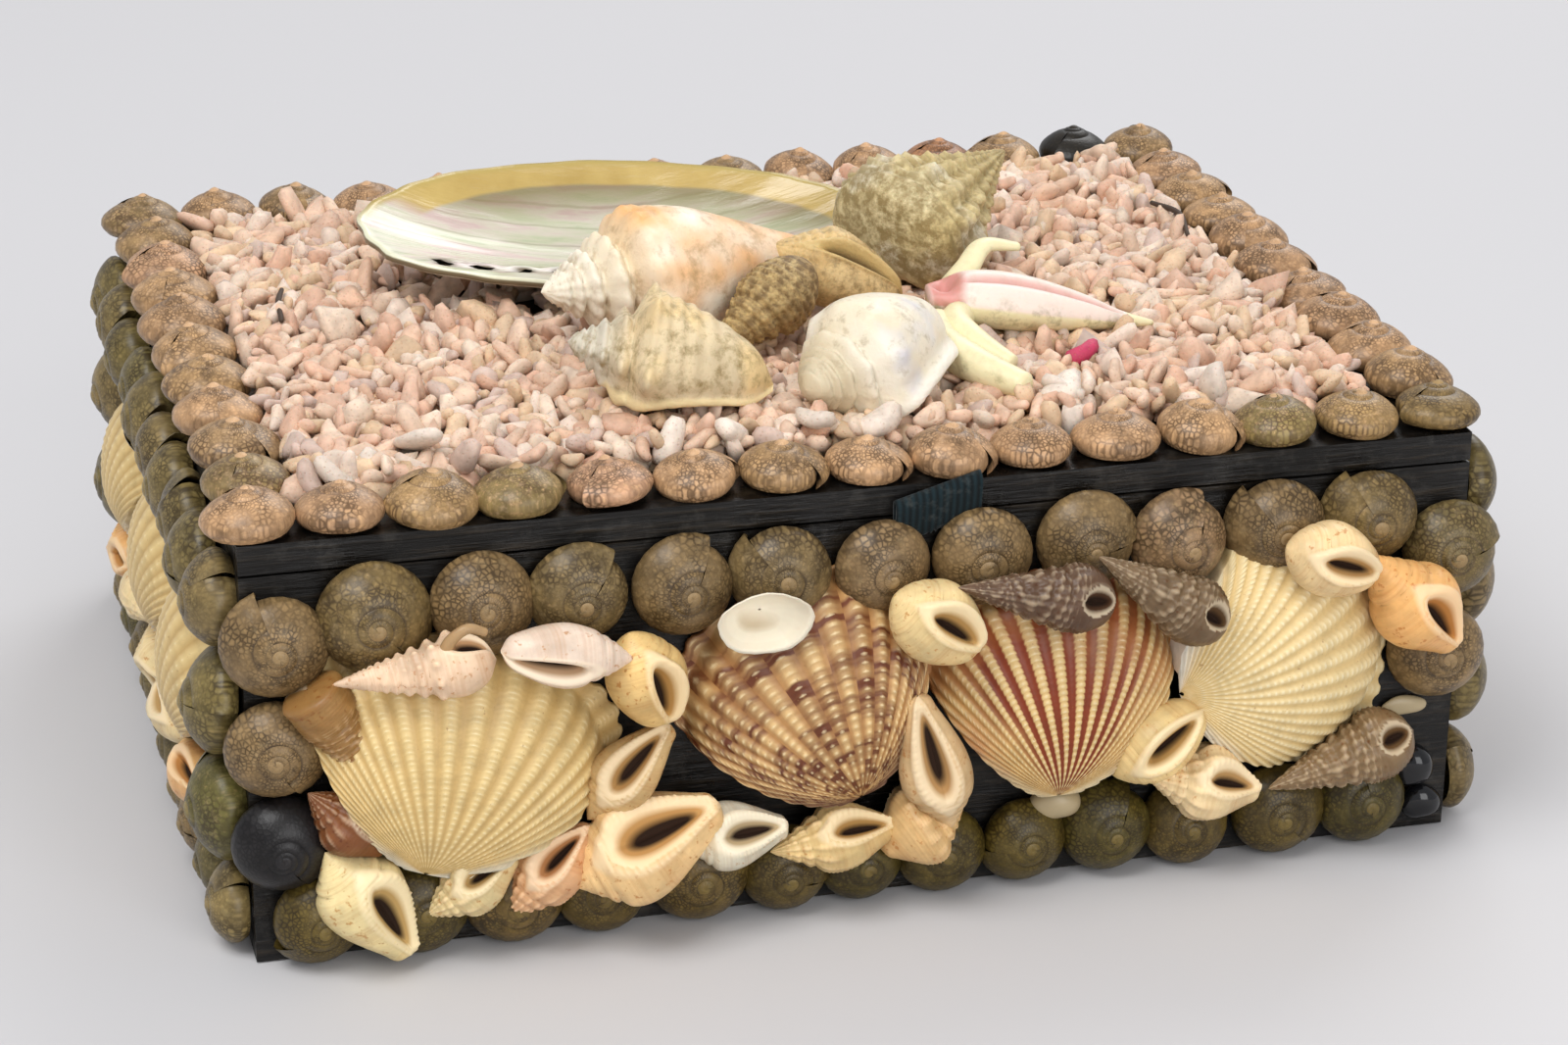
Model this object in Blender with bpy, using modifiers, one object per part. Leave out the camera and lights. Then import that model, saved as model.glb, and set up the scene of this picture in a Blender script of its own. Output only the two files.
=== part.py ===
"""Shell box: a small hollow box of thin black boards, covered all over in sea shells.

Rows of button shells edge the lid and every wall. Ribbed cockles and small snail shells
fill the walls, and the lid carries a bed of broken coral with eight large shells on it.
The lid lifts off. The origin is the centre of the underside, with the front at -Y.
"""

import math
import random

import bmesh
import bpy
from mathutils import Matrix, Vector

# The boards of the box
BOX_LENGTH = 0.150
BOX_DEPTH = 0.117
WALL_HEIGHT = 0.0491
WALL_THICKNESS = 0.0035
BOTTOM_THICKNESS = 0.0030
LID_THICKNESS = 0.0036
SEAM = 0.0003
CUT_ROOM = 1.2 * SEAM
FLAT_ANGLE = math.radians(1.5)

# The button shells
LARGE_BUTTON = 0.0122
SMALL_BUTTON = 0.0109
LID_BUTTON = 0.0104
BUTTON_SIDES = 7
BUTTON_RISE = 1.05
BUTTON_FOOT = 0.72
BUTTON_WAIST = 0.40
BITE = 0.0004
ROW_OVERHANG = 0.0012
MISSING_BUTTON_GAP = 0.0066
COLUMN_OVERHANG = 0.0026
BARE_CORNER_HEIGHT = 0.0085

# The coral bed on the lid and the cloth tab on its front edge
BED_THICKNESS = 0.0024
BED_LUMP = 0.0018
BED_CELLS_LONG = 11
BED_CELLS_DEEP = 8
TAB_WIDTH = 0.0095
TAB_HEIGHT = 0.0046
TAB_THICKNESS = 0.0020
TAB_OFFSET = 0.0070
TAB_ROUNDING = 0.0008

# The ribbed cockles and the small snail shells
COCKLE_BULGE = 0.30
COCKLE_CROWN = 0.40
COCKLE_EDGE = 0.02
COCKLE_HINGE = 0.40
COCKLE_COLUMNS = 16
RIB_DEPTH = 0.07
WHELK_SIDES = 6
WHELK_REST = 0.85
CHAIN_COUNT = 5
CHAIN_GIRTH = 6.4
CHAIN_LAP = 1.16
CHAIN_HEIGHTS = (0.62, 0.78, 0.56)
WHORL_STEP = 0.16
FINGER_TAPER = 0.45
EAR_SIDES = 16
EAR_EGG = 0.10
EAR_CURVE = 2.2
WHELK_PROFILE = ((0.0, 0.0), (0.28, 0.60), (0.60, 1.0), (1.0, 0.45))

LID_TOP = WALL_HEIGHT + SEAM + LID_THICKNESS
DRAWN_BUTTON = 12.2
WIDEST_FAN = 0.76


# Materials

def material(name, colour, roughness):
    """A plain finish for one kind of surface."""
    finish = bpy.data.materials.new(name)
    finish.use_nodes = True
    shader = finish.node_tree.nodes["Principled BSDF"]
    shader.inputs["Base Color"].default_value = (*colour, 1.0)
    shader.inputs["Roughness"].default_value = roughness
    return finish


# Solids made from rings of points

def loft(rings):
    """Skin closed rings of points into one solid; a ring of one point is a tip."""
    body = bmesh.new()
    rows = [[body.verts.new(point) for point in ring] for ring in rings]
    for low, high in zip(rows, rows[1:]):
        sides = max(len(low), len(high))
        for side in range(sides):
            after = side + 1
            around = (low[side % len(low)], low[after % len(low)],
                      high[after % len(high)], high[side % len(high)])
            body.faces.new(list(dict.fromkeys(around)))
    for row in (rows[0], rows[-1]):
        if len(row) > 2:
            body.faces.new(row)
    bmesh.ops.recalc_face_normals(body, faces=body.faces)
    bmesh.ops.triangulate(body, faces=body.faces)
    mesh = bpy.data.meshes.new("solid")
    body.to_mesh(mesh)
    body.free()
    return mesh


def evaluated(owner):
    """The mesh of an object once its modifiers have run; the object itself goes."""
    bpy.context.view_layer.update()
    depsgraph = bpy.context.evaluated_depsgraph_get()
    mesh = bpy.data.meshes.new_from_object(owner.evaluated_get(depsgraph))
    bpy.data.objects.remove(owner)
    return mesh


def turned(profile, sides):
    """A solid of revolution about Z, from (radius, height) pairs, top to bottom."""
    outline = bpy.data.meshes.new("profile")
    edges = [(number, number + 1) for number in range(len(profile) - 1)]
    outline.from_pydata([(radius, 0.0, height) for radius, height in profile], edges, [])
    lathe = bpy.data.objects.new("profile", outline)
    bpy.context.scene.collection.objects.link(lathe)
    screw = lathe.modifiers.new("turn", "SCREW")
    screw.steps = sides
    screw.render_steps = sides
    screw.use_merge_vertices = True
    screw.merge_threshold = 0.000001
    return evaluated(lathe)


# Joining and cutting

def largest_island(mesh):
    """Keep the biggest connected piece of a mesh, so that no crumb is left by a cut."""
    body = bmesh.new()
    body.from_mesh(mesh)
    bmesh.ops.remove_doubles(body, verts=body.verts, dist=0.000002)
    bmesh.ops.dissolve_degenerate(body, edges=body.edges, dist=0.000002)
    islands = []
    waiting = set(body.verts)
    while waiting:
        island = set()
        edge_of_search = [waiting.pop()]
        while edge_of_search:
            vert = edge_of_search.pop()
            island.add(vert)
            for edge in vert.link_edges:
                other = edge.other_vert(vert)
                if other in waiting:
                    waiting.discard(other)
                    edge_of_search.append(other)
        islands.append(island)
    islands.sort(key=len)
    crumbs = [vert for island in islands[:-1] for vert in island]
    bmesh.ops.delete(body, geom=crumbs, context="VERTS")
    bmesh.ops.dissolve_limit(body, verts=body.verts, edges=body.edges, angle_limit=FLAT_ANGLE)
    bmesh.ops.triangulate(body, faces=body.faces)
    body.to_mesh(mesh)
    body.free()
    return mesh


def boolean(first, second, operation):
    """One mesh joined to another, or cut by it."""
    base = bpy.data.objects.new("base", first)
    tool = bpy.data.objects.new("tool", second)
    for owner in (base, tool):
        bpy.context.scene.collection.objects.link(owner)
    cut = base.modifiers.new("cut", "BOOLEAN")
    cut.operation = operation
    cut.solver = "EXACT"
    cut.object = tool
    mesh = evaluated(base)
    bpy.data.objects.remove(tool)
    return mesh


def fuse(meshes):
    """Join solids that touch into one body."""
    body = meshes[0]
    for mesh in meshes[1:]:
        body = boolean(body, mesh, "UNION")
    return largest_island(body)


def span(mesh):
    """The lowest and highest corners of a mesh."""
    points = [vert.co for vert in mesh.vertices]
    low = Vector(min(point[axis] for point in points) for axis in range(3))
    high = Vector(max(point[axis] for point in points) for axis in range(3))
    return low, high


def swollen(mesh):
    """A copy of a mesh, thicker all round by a little more than the seam."""
    body = bmesh.new()
    body.from_mesh(mesh)
    body.normal_update()
    moved = [vert.co + vert.normal * CUT_ROOM for vert in body.verts]
    for vert, place in zip(body.verts, moved):
        vert.co = place
    copy = bpy.data.meshes.new("swollen")
    body.to_mesh(copy)
    body.free()
    return copy


def carve(mesh, neighbours):
    """Cut a piece back from those already in place, so that it sits against them."""
    for neighbour in neighbours:
        low, high = span(mesh)
        near, far = span(neighbour)
        if all(low[axis] < far[axis] + SEAM and high[axis] > near[axis] - SEAM for axis in range(3)):
            mesh = boolean(mesh, swollen(neighbour), "DIFFERENCE")
    return largest_island(mesh)


# The faces that shells are glued to

UP = Vector((0, 0, 1))


def wall_face(across, outward, reach):
    """Axes on the outside of a wall: across it, up it and away from it."""
    face = Matrix((across, UP, outward)).transposed().to_4x4()
    face.translation = outward * reach
    return face


FRONT = wall_face(Vector((1, 0, 0)), Vector((0, -1, 0)), BOX_DEPTH / 2)
BACK = wall_face(Vector((-1, 0, 0)), Vector((0, 1, 0)), BOX_DEPTH / 2)
LEFT = wall_face(Vector((0, -1, 0)), Vector((-1, 0, 0)), BOX_LENGTH / 2)
RIGHT = wall_face(Vector((0, 1, 0)), Vector((1, 0, 0)), BOX_LENGTH / 2)
LID = Matrix.Translation((0, 0, LID_TOP))


def sheet(face, drawn, actual, rise):
    """Axes of a drawing in millimetres, stretched so that its field fits the actual one.

    A field is (left, low, right, high); rise is what a millimetre of the drawing stands
    proud of the face.
    """
    across = (actual[2] - actual[0]) / (drawn[2] - drawn[0])
    up = (actual[3] - actual[1]) / (drawn[3] - drawn[1])
    start = (actual[0] - across * drawn[0], actual[1] - up * drawn[1], SEAM)
    return face @ Matrix.Translation(start) @ Matrix.Diagonal((across, up, rise, 1))


# Shells

def button(face, across, up, radius, turn, plain):
    """A low cone glued flat on a face, with a narrow foot unless it is a plain one."""
    height = radius * BUTTON_RISE
    foot = [(radius, 0)] if plain else [(radius, height * BUTTON_WAIST), (radius * BUTTON_FOOT, 0)]
    shell = turned([(0, height), *foot, (0, 0)], BUTTON_SIDES)
    flat_side_first = Matrix.Rotation(math.pi / BUTTON_SIDES + turn, 4, "Z")
    shell.transform(face @ Matrix.Translation((across, up, SEAM)) @ flat_side_first)
    return shell


def button_row(face, start, end, centre, size, upright=False, plain=False):
    """Button shells side by side that fill a line on a face from edge to edge."""
    count = max(1, round((end - start) / size))
    flat = (end - start + (count - 1) * BITE) / count
    radius = flat / (1 + math.cos(math.pi / BUTTON_SIDES))
    shells = []
    for number in range(count):
        along = start + flat / 2 + number * (flat - BITE)
        across, up = (centre, along) if upright else (along, centre)
        shells.append(button(face, across, up, radius, math.pi / 2 if upright else 0, plain))
    return fuse(shells)


def cockle(page, umbo, heading, reach, width):
    """A ribbed valve glued by its rim: ribs fan from the umbo towards its heading."""
    forward = Vector((math.cos(math.radians(heading)), math.sin(math.radians(heading))))
    sideways = Vector((-forward.y, forward.x))
    bulge = COCKLE_BULGE * (reach + width) / 2

    def swell(along, aside):
        """Height of the dome, highest at its crown, which is nearer the umbo."""
        half = 1 - COCKLE_CROWN if along > COCKLE_CROWN * reach else 1.15 * COCKLE_CROWN
        drop = ((along / reach - COCKLE_CROWN) / half) ** 2 + (2 * aside / width) ** 2
        return bulge * math.sqrt(max(COCKLE_EDGE, 1 - drop))

    def ring(share):
        """One ring of the valve; the outermost is its scalloped rim, down on the wall."""
        points = []
        for column in range(COCKLE_COLUMNS):
            angle = 2 * math.pi * column / COCKLE_COLUMNS
            rib = 1 + RIB_DEPTH * (-1) ** column
            scallop = rib if share == 1 else 1
            opening = 0.5 + 0.5 * math.cos(angle)
            along = share * reach * (0.5 + 0.5 * math.cos(angle) * scallop)
            fan = (COCKLE_HINGE + (1 - COCKLE_HINGE) * opening) / WIDEST_FAN
            aside = share * width * 0.5 * fan * math.sin(angle) * scallop
            height = 0 if share == 1 else swell(along, aside) * rib
            spot = Vector(umbo) + forward * along + sideways * aside
            points.append(page @ Vector((*spot, height)))
        return points

    tip = page @ Vector((*umbo, swell(0, 0)))
    return loft([ring(1), ring(0.68), ring(0.34), [tip]])


def whelk(page, apex, mouth, girth, lift=0):
    """A small snail shell from its pointed apex to its mouth, with a girth to its length."""
    apex, mouth = Vector(apex), Vector(mouth)
    axis = mouth - apex
    radius = girth * axis.length / 2
    sideways = Vector((-axis.y, axis.x)).normalized()
    rings = []
    for share, width in WHELK_PROFILE:
        centre = apex + axis * share
        points = []
        for side in range(WHELK_SIDES if width else 1):
            angle = 2 * math.pi * (side + 0.5) / WHELK_SIDES
            spot = centre + sideways * radius * width * math.cos(angle)
            height = lift + radius * (WHELK_REST + width * math.sin(angle))
            points.append(page @ Vector((*spot, max(0, height))))
        rings.append(points)
    return loft(rings)


def conch(start, end, radius, profile, sides=8, knobs=0, knob_size=0.0, whorls=0.0):
    """A large spiral shell between two points: profile gives (share along, share of radius)."""
    start, end = Vector(start), Vector(end)
    axis = end - start
    sideways = axis.cross(UP).normalized()
    over = sideways.cross(axis).normalized()
    rings = []
    for share, width in profile:
        centre = start + axis * share
        points = []
        for side in range(sides if width else 1):
            angle = 2 * math.pi * side / sides
            step = (whorls * share - angle / (2 * math.pi)) % 1.0 if whorls else 0.0
            bump = 1 - WHORL_STEP * step
            if knobs and width > 0.8:
                bump += knob_size * (1 if (side * knobs // sides) % 2 else -0.3)
            spread = radius * width * bump
            points.append(centre + sideways * spread * math.cos(angle) + over * spread * math.sin(angle))
        rings.append(points)
    return loft(rings)


def lobe(centre, size, turn):
    """A rounded flap, such as the flared lip of a conch; turn is in degrees about X, Y and Z."""
    body = bmesh.new()
    bmesh.ops.create_uvsphere(body, u_segments=7, v_segments=4, radius=1.0)
    mesh = bpy.data.meshes.new("lobe")
    body.to_mesh(mesh)
    body.free()
    for axis, degrees in zip("XYZ", turn):
        size_first = Matrix.Diagonal((*size, 1)) if axis == "X" else Matrix.Identity(4)
        mesh.transform(Matrix.Rotation(math.radians(degrees), 4, axis) @ size_first)
    mesh.transform(Matrix.Translation(centre))
    return mesh


def finger(points, radius):
    """A curved spine of five sides that narrows along its points."""
    points = [Vector(point) for point in points]
    rings = []
    for number, centre in enumerate(points):
        ahead = points[min(number + 1, len(points) - 1)] - points[max(number - 1, 0)]
        sideways = ahead.cross(UP).normalized()
        over = sideways.cross(ahead).normalized()
        thick = radius * (1 - FINGER_TAPER * number / (len(points) - 1))
        rings.append([centre + sideways * thick * math.cos(2 * math.pi * side / 5)
                      + over * thick * math.sin(2 * math.pi * side / 5) for side in range(5)])
    return loft(rings)


def ear_shell(centre, length, width, depth, thickness, turn):
    """An open bowl like an ear, its hollow side up; turn is in degrees about X, Y and Z."""
    place = Matrix.Translation(centre)
    for axis, degrees in zip("ZYX", reversed(turn)):
        place = place @ Matrix.Rotation(math.radians(degrees), 4, axis)

    def ring(share, inner):
        points = []
        wall = thickness * (2 - share) if inner else 0.0
        for side in range(EAR_SIDES):
            angle = 2 * math.pi * side / EAR_SIDES
            egg = 1 - EAR_EGG * math.cos(angle)
            along = (length / 2 - wall * 0.6) * share * math.cos(angle)
            aside = (width / 2 * egg - wall * 0.6) * share * math.sin(angle)
            sink = -depth * (1 - share ** EAR_CURVE) + (thickness if inner and share < 1 else 0.0)
            points.append(place @ Vector((along, aside, sink)))
        return points

    bottom = place @ Vector((0, 0, -depth))
    floor = place @ Vector((0, 0, thickness - depth))
    return loft([[bottom], ring(0.5, False), ring(1.0, False),
                 ring(0.94, True), ring(0.5, True), [floor]])


# Boards

def board(low, high):
    """A flat board between two corners."""
    body = bmesh.new()
    bmesh.ops.create_cube(body, size=1.0)
    mesh = bpy.data.meshes.new("board")
    body.to_mesh(mesh)
    body.free()
    low, high = Vector(low), Vector(high)
    mesh.transform(Matrix.Translation((low + high) / 2) @ Matrix.Diagonal((*(high - low), 1)))
    return mesh


def box_boards():
    """Front and back boards run full length; the side boards and the bottom fit between."""
    half, deep = BOX_LENGTH / 2, BOX_DEPTH / 2
    inside = half - WALL_THICKNESS
    inner = deep - WALL_THICKNESS
    short = inner - SEAM
    return {
        "front_wall": board((-half, -deep, 0), (half, -inner, WALL_HEIGHT)),
        "back_wall": board((-half, inner, 0), (half, deep, WALL_HEIGHT)),
        "left_wall": board((-half, -short, 0), (-inside, short, WALL_HEIGHT)),
        "right_wall": board((inside, -short, 0), (half, short, WALL_HEIGHT)),
        "bottom_board": board((SEAM - inside, -short, 0), (inside - SEAM, short, BOTTOM_THICKNESS)),
        "lid_board": board((-half, -deep, WALL_HEIGHT + SEAM), (half, deep, LID_TOP)),
    }


# Button rows

def row_half_width(start, end, size):
    """Half the width of a row of buttons that fills a line."""
    count = max(1, round((end - start) / size))
    return (end - start + (count - 1) * BITE) / count / 2


def lid_rows():
    """Rows round the edge of the lid; the front and back rows hold the corners."""
    reach = BOX_LENGTH / 2 + COLUMN_OVERHANG
    half = row_half_width(-reach, reach, LID_BUTTON)
    depth = BOX_DEPTH / 2 + ROW_OVERHANG
    gap = depth - 2 * half - SEAM
    across = reach - half
    return {
        "lid_front_buttons": button_row(LID, -reach, reach, half - depth, LID_BUTTON),
        "lid_back_buttons": button_row(LID, -reach, reach, depth - half, LID_BUTTON),
        "lid_left_buttons": button_row(LID, -gap, gap, -across, LID_BUTTON, upright=True),
        "lid_right_buttons": button_row(LID, -gap, gap, across, LID_BUTTON, upright=True),
    }


def top_row_height(half):
    """Height of a row whose feet end just under the top of the wall."""
    return WALL_HEIGHT - SEAM - half * BUTTON_FOOT


def front_rows():
    """Rows on the front: the lower right corner has lost two of its shells."""
    edge = BOX_LENGTH / 2
    start, end = -edge + ROW_OVERHANG, edge - MISSING_BUTTON_GAP
    low = row_half_width(start, end, SMALL_BUTTON)
    floor = 2 * low + 3 * SEAM
    ceiling = WALL_HEIGHT - SEAM
    side = row_half_width(floor, ceiling, LARGE_BUTTON)
    column = edge + COLUMN_OVERHANG - side
    reach = column - side - SEAM
    top = top_row_height(row_half_width(-reach, reach, LARGE_BUTTON))
    bare = floor + BARE_CORNER_HEIGHT
    high = top - row_half_width(-reach, reach, LARGE_BUTTON)
    field = (-reach, 2 * low + 2 * SEAM, reach, high)
    return field, {
        "front_bottom_buttons": button_row(FRONT, start, end, low + SEAM, SMALL_BUTTON),
        "front_top_buttons": button_row(FRONT, -reach, reach, top, LARGE_BUTTON),
        "front_left_end_buttons": button_row(FRONT, floor, ceiling, -column, LARGE_BUTTON, upright=True),
        "front_right_end_buttons": button_row(FRONT, bare, bare + 2 * LARGE_BUTTON, column, LARGE_BUTTON,
                                          upright=True),
    }


def side_rows(face, length, names, plain):
    """Rows round a wall: top and bottom run its full length, with a column at each end."""
    top_name, bottom_name, first_name, last_name = names
    edge = length / 2
    low = row_half_width(-edge, edge, SMALL_BUTTON)
    high = row_half_width(-edge, edge, LARGE_BUTTON)
    top = top_row_height(high)
    floor, ceiling = 2 * low + 2 * SEAM, top - high - SEAM
    side = row_half_width(floor, ceiling, LARGE_BUTTON)
    reach = edge - 2 * side
    return (-reach, floor, reach, ceiling), {
        top_name: button_row(face, -edge, edge, top, LARGE_BUTTON, False, plain),
        bottom_name: button_row(face, -edge, edge, low + SEAM, SMALL_BUTTON, False, plain),
        first_name: button_row(face, floor, ceiling, side - edge, LARGE_BUTTON, True, plain),
        last_name: button_row(face, floor, ceiling, edge - side, LARGE_BUTTON, True, plain),
    }


# The shells on each wall are drawn on a sheet in millimetres, from the middle of the wall's
# foot, and each sheet is stretched to fit the field between the wall's rows of buttons.
# A cockle has its umbo, its heading in degrees, its reach and its width. A snail has its
# apex, its mouth, its girth as a share of its length, and its lift off the wall.

FRONT_FIELD = (-66.0, 11.6, 66.0, 38.3)
SIDE_FIELD = (-45.0, 11.2, 45.0, 38.2)
BACK_FIELD = (-61.5, 11.2, 61.5, 38.2)

FRONT_COCKLES = {
    "front_cream_cockle": ((-53.0, 12.5), 83, 27.0, 33.6),
    "front_brown_cockle": ((-4.8, 13.2), 124, 29.4, 26.4),
    "front_striped_cockle": ((22.8, 12.3), 98, 27.3, 32.4),
    "front_yellow_cockle": ((38.1, 24.5), 12, 26.1, 29.4),
    "front_small_clam": ((-14.8, 35.1), 90, 6.9, 10.5),
}

BROWN_COCKLES = ("front_brown_cockle", "front_striped_cockle")

FRONT_SNAILS = {
    "front_left_high_snails": (
        ((-64.2, 36.6), (-46.7, 36.1), 0.34, 4.6),
        ((-61.4, 25.8), (-63.9, 36.8), 0.50, 3.4),
    ),
    "front_left_low_snails": (
        ((-66.6, 23.0), (-60.6, 18.2), 0.72, 1.4),
        ((-62.4, 20.6), (-60.3, 9.8), 0.66, 2.6),
    ),
    "front_gap_snails": (
        ((-28.8, 34.3), (-44.9, 35.8), 0.38, 5.0),
        ((-28.4, 36.5), (-29.9, 25.8), 0.80, 3.2),
        ((-35.7, 19.0), (-28.8, 29.5), 0.62, 2.6),
    ),
    "front_middle_snails": (
        ((-37.5, 12.9), (-20.5, 16.2), 0.62, 3.2),
        ((-55.1, 9.5), (-42.9, 13.0), 0.58, 4.2),
        ((-46.2, 10.5), (-34.5, 14.7), 0.58, 4.0),
        ((-23.7, 14.2), (-11.5, 13.9), 0.58, 4.2),
        ((-14.1, 13.8), (1.3, 12.8), 0.46, 4.4),
        ((-0.8, 13.9), (11.0, 14.2), 0.66, 4.0),
        ((8.3, 13.9), (5.0, 26.5), 0.48, 3.6),
    ),
    "front_upper_snails": (
        ((1.5, 34.6), (12.5, 34.0), 0.80, 3.8),
        ((9.3, 36.1), (27.9, 35.1), 0.38, 5.2),
        ((25.5, 35.3), (42.0, 32.0), 0.38, 5.0),
    ),
    "front_right_low_snails": (
        ((33.0, 16.2), (39.9, 20.6), 0.90, 1.6),
        ((34.5, 15.7), (48.8, 13.8), 0.56, 3.8),
        ((45.9, 14.2), (64.5, 14.3), 0.38, 4.4),
    ),
    "front_right_high_snails": (
        ((50.0, 36.8), (62.4, 35.6), 0.66, 5.0),
        ((59.4, 38.0), (67.2, 25.9), 0.56, 4.4),
    ),
}

SIDE_COCKLES = (
    ((-30.4, 18.4), 97, 19.3, 28.7),
    ((0.6, 18.4), 88, 19.6, 28.1),
    ((31.6, 18.4), 84, 19.3, 28.7),
)

BACK_COCKLES = (
    ((-41.3, 18.2), 95, 19.5, 36.0),
    ((0.0, 18.2), 90, 19.7, 36.8),
    ((41.3, 18.2), 85, 19.5, 36.0),
)


def wall_page(face, drawn, actual):
    """The sheet for one wall; its shells stand as proud as its buttons allow."""
    return sheet(face, drawn, actual, LARGE_BUTTON / DRAWN_BUTTON)


def wall_snails(page, rows):
    """Snail shells on a wall that touch each other, joined into one body."""
    return fuse([whelk(page, *row) for row in rows])


def snail_chain(page, drawn):
    """A line of snail shells, nose to tail, just over the bottom row of a wall."""
    left, low, right, high = drawn
    step = (right - left) / CHAIN_COUNT
    shells = []
    for number in range(CHAIN_COUNT):
        start = (left + number * step, low + CHAIN_GIRTH * CHAIN_HEIGHTS[number % 2])
        finish = (start[0] + step * CHAIN_LAP, low + CHAIN_GIRTH * CHAIN_HEIGHTS[number % 3])
        ends = (finish, start) if number % 2 else (start, finish)
        shells.append(whelk(page, *ends, CHAIN_GIRTH / (step * CHAIN_LAP)))
    return fuse(shells)


# The large shells on the lid are drawn on a sheet too, in millimetres from the lid's
# middle, with their heights above the coral. Each profile is (share along, share of radius).

LID_FIELD = (-75.0, -58.5, 75.0, 58.5)
CONE_PROFILE = ((0, 0), (0.16, 0.24), (0.34, 0.46), (0.52, 0.64), (0.70, 0.84), (0.88, 1.0),
                (1.0, 0.72))
CONCH_PROFILE = ((0, 0), (0.10, 0.26), (0.22, 0.50), (0.34, 0.92), (0.50, 1.0), (0.68, 0.84),
                 (0.84, 0.52), (1.0, 0.20))
KNOB_PROFILE = ((0, 0), (0.14, 0.34), (0.28, 0.60), (0.40, 1.0), (0.54, 0.94), (0.78, 0.60),
                (1.0, 0.24))


def big_shells():
    """The eight large shells on the coral, in the order in which they were laid."""
    half, deep = BOX_LENGTH / 2, BOX_DEPTH / 2
    shells = {
        "abalone": ear_shell((-14.5, 12.0, 8.6), 68, 31, 7.8, 1.2, (12, 2, -3)),
        "large_white_conch": conch((-29.4, -12.3, 9.2), (4.2, -6.0, 9.3), 9.1, CONCH_PROFILE,
                                   sides=10, whorls=3),
        "grey_knobbed_conch": fuse([
            conch((-30.6, -30.4, 6.8), (-9.4, -38.6, 3.8), 7.2, KNOB_PROFILE, knobs=8, knob_size=0.12),
            lobe((-18.6, -39.6, 2.6), (8.4, 2.1, 3.8), (20, 0, -18)),
        ]),
        "small_brown_shell": conch((-9.6, -21.6, 3.4), (1.6, -18.0, 9.9), 3.7, CONE_PROFILE, sides=7),
        "tan_lipped_shell": fuse([
            conch((1.2, -10.8, 9.8), (15.4, -10.5, 3.6), 4.4, CONCH_PROFILE),
            lobe((11.8, -12.0, 5.0), (4.3, 1.5, 3.9), (10, 0, -20)),
        ]),
        "rough_top_shell": conch((36.0, 12.9, 10.2), (17.2, -0.8, 6.6), 10.4, CONE_PROFILE,
                                 sides=10, whorls=3.5),
        "pale_blue_conch": fuse([
            conch((-6.2, -42.1, 5.4), (13.6, -37.0, 5.6), 7.3, CONCH_PROFILE, knobs=4, knob_size=0.14),
            lobe((8.2, -40.6, 4.6), (5.6, 1.7, 5.0), (15, 0, 18)),
        ]),
        "spider_conch": fuse([
            conch((19.8, -20.5, 5.2), (43.8, -22.6, 1.8), 5.5, CONCH_PROFILE),
            finger([(23.5, -17.5, 7.2), (28.0, -13.0, 10.4), (31.4, -11.6, 9.8)], 1.8),
            finger([(22.9, -22.8, 4.2), (18.6, -26.3, 3.9), (23.6, -35.7, 2.1)], 2.0),
            finger([(18.6, -25.8, 3.9), (16.2, -31.6, 3.3), (22.8, -43.0, 1.5)], 2.2),
        ]),
    }
    page = sheet(LID, LID_FIELD, (-half, -deep, half, deep), half / LID_FIELD[2])
    page = Matrix.Translation((0, 0, BED_THICKNESS)) @ page
    for shell in shells.values():
        shell.transform(page)
    return shells


def coral_bed():
    """A slab of broken coral inside the lid's rows, with an uneven top."""
    reach = BOX_LENGTH / 2 + COLUMN_OVERHANG
    half = row_half_width(-reach, reach, LID_BUTTON)
    length = reach - 2 * half - SEAM
    depth = BOX_DEPTH / 2 + ROW_OVERHANG - 2 * half - SEAM
    chance = random.Random(7)
    body = bmesh.new()
    bmesh.ops.create_grid(body, x_segments=BED_CELLS_LONG, y_segments=BED_CELLS_DEEP, size=1.0)
    for vert in body.verts:
        lump = 0.0 if vert.is_boundary else BED_LUMP * chance.random()
        vert.co = Vector((vert.co.x * length, vert.co.y * depth, LID_TOP + SEAM + BED_THICKNESS + lump))
    rim = [edge for edge in body.edges if edge.is_boundary]
    skirt = bmesh.ops.extrude_edge_only(body, edges=rim)["geom"]
    for vert in skirt:
        if isinstance(vert, bmesh.types.BMVert):
            vert.co.z = LID_TOP + SEAM
    under = [edge for edge in body.edges if edge.is_boundary]
    bmesh.ops.edgeloop_fill(body, edges=under)
    bmesh.ops.recalc_face_normals(body, faces=body.faces)
    bmesh.ops.triangulate(body, faces=body.faces)
    mesh = bpy.data.meshes.new("bed")
    body.to_mesh(mesh)
    body.free()
    return mesh


def pull_tab():
    """A folded scrap of cloth that hangs over the front edge of the lid."""
    front = -BOX_DEPTH / 2 - SEAM
    mesh = board((TAB_OFFSET - TAB_WIDTH / 2, front - TAB_THICKNESS, LID_TOP - TAB_HEIGHT),
                 (TAB_OFFSET + TAB_WIDTH / 2, front, LID_TOP + SEAM))
    folded = bpy.data.objects.new("tab", mesh)
    bpy.context.scene.collection.objects.link(folded)
    bevel = folded.modifiers.new("round", "BEVEL")
    bevel.width = TAB_ROUNDING
    bevel.segments = 1
    return evaluated(folded)


# The whole box

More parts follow.
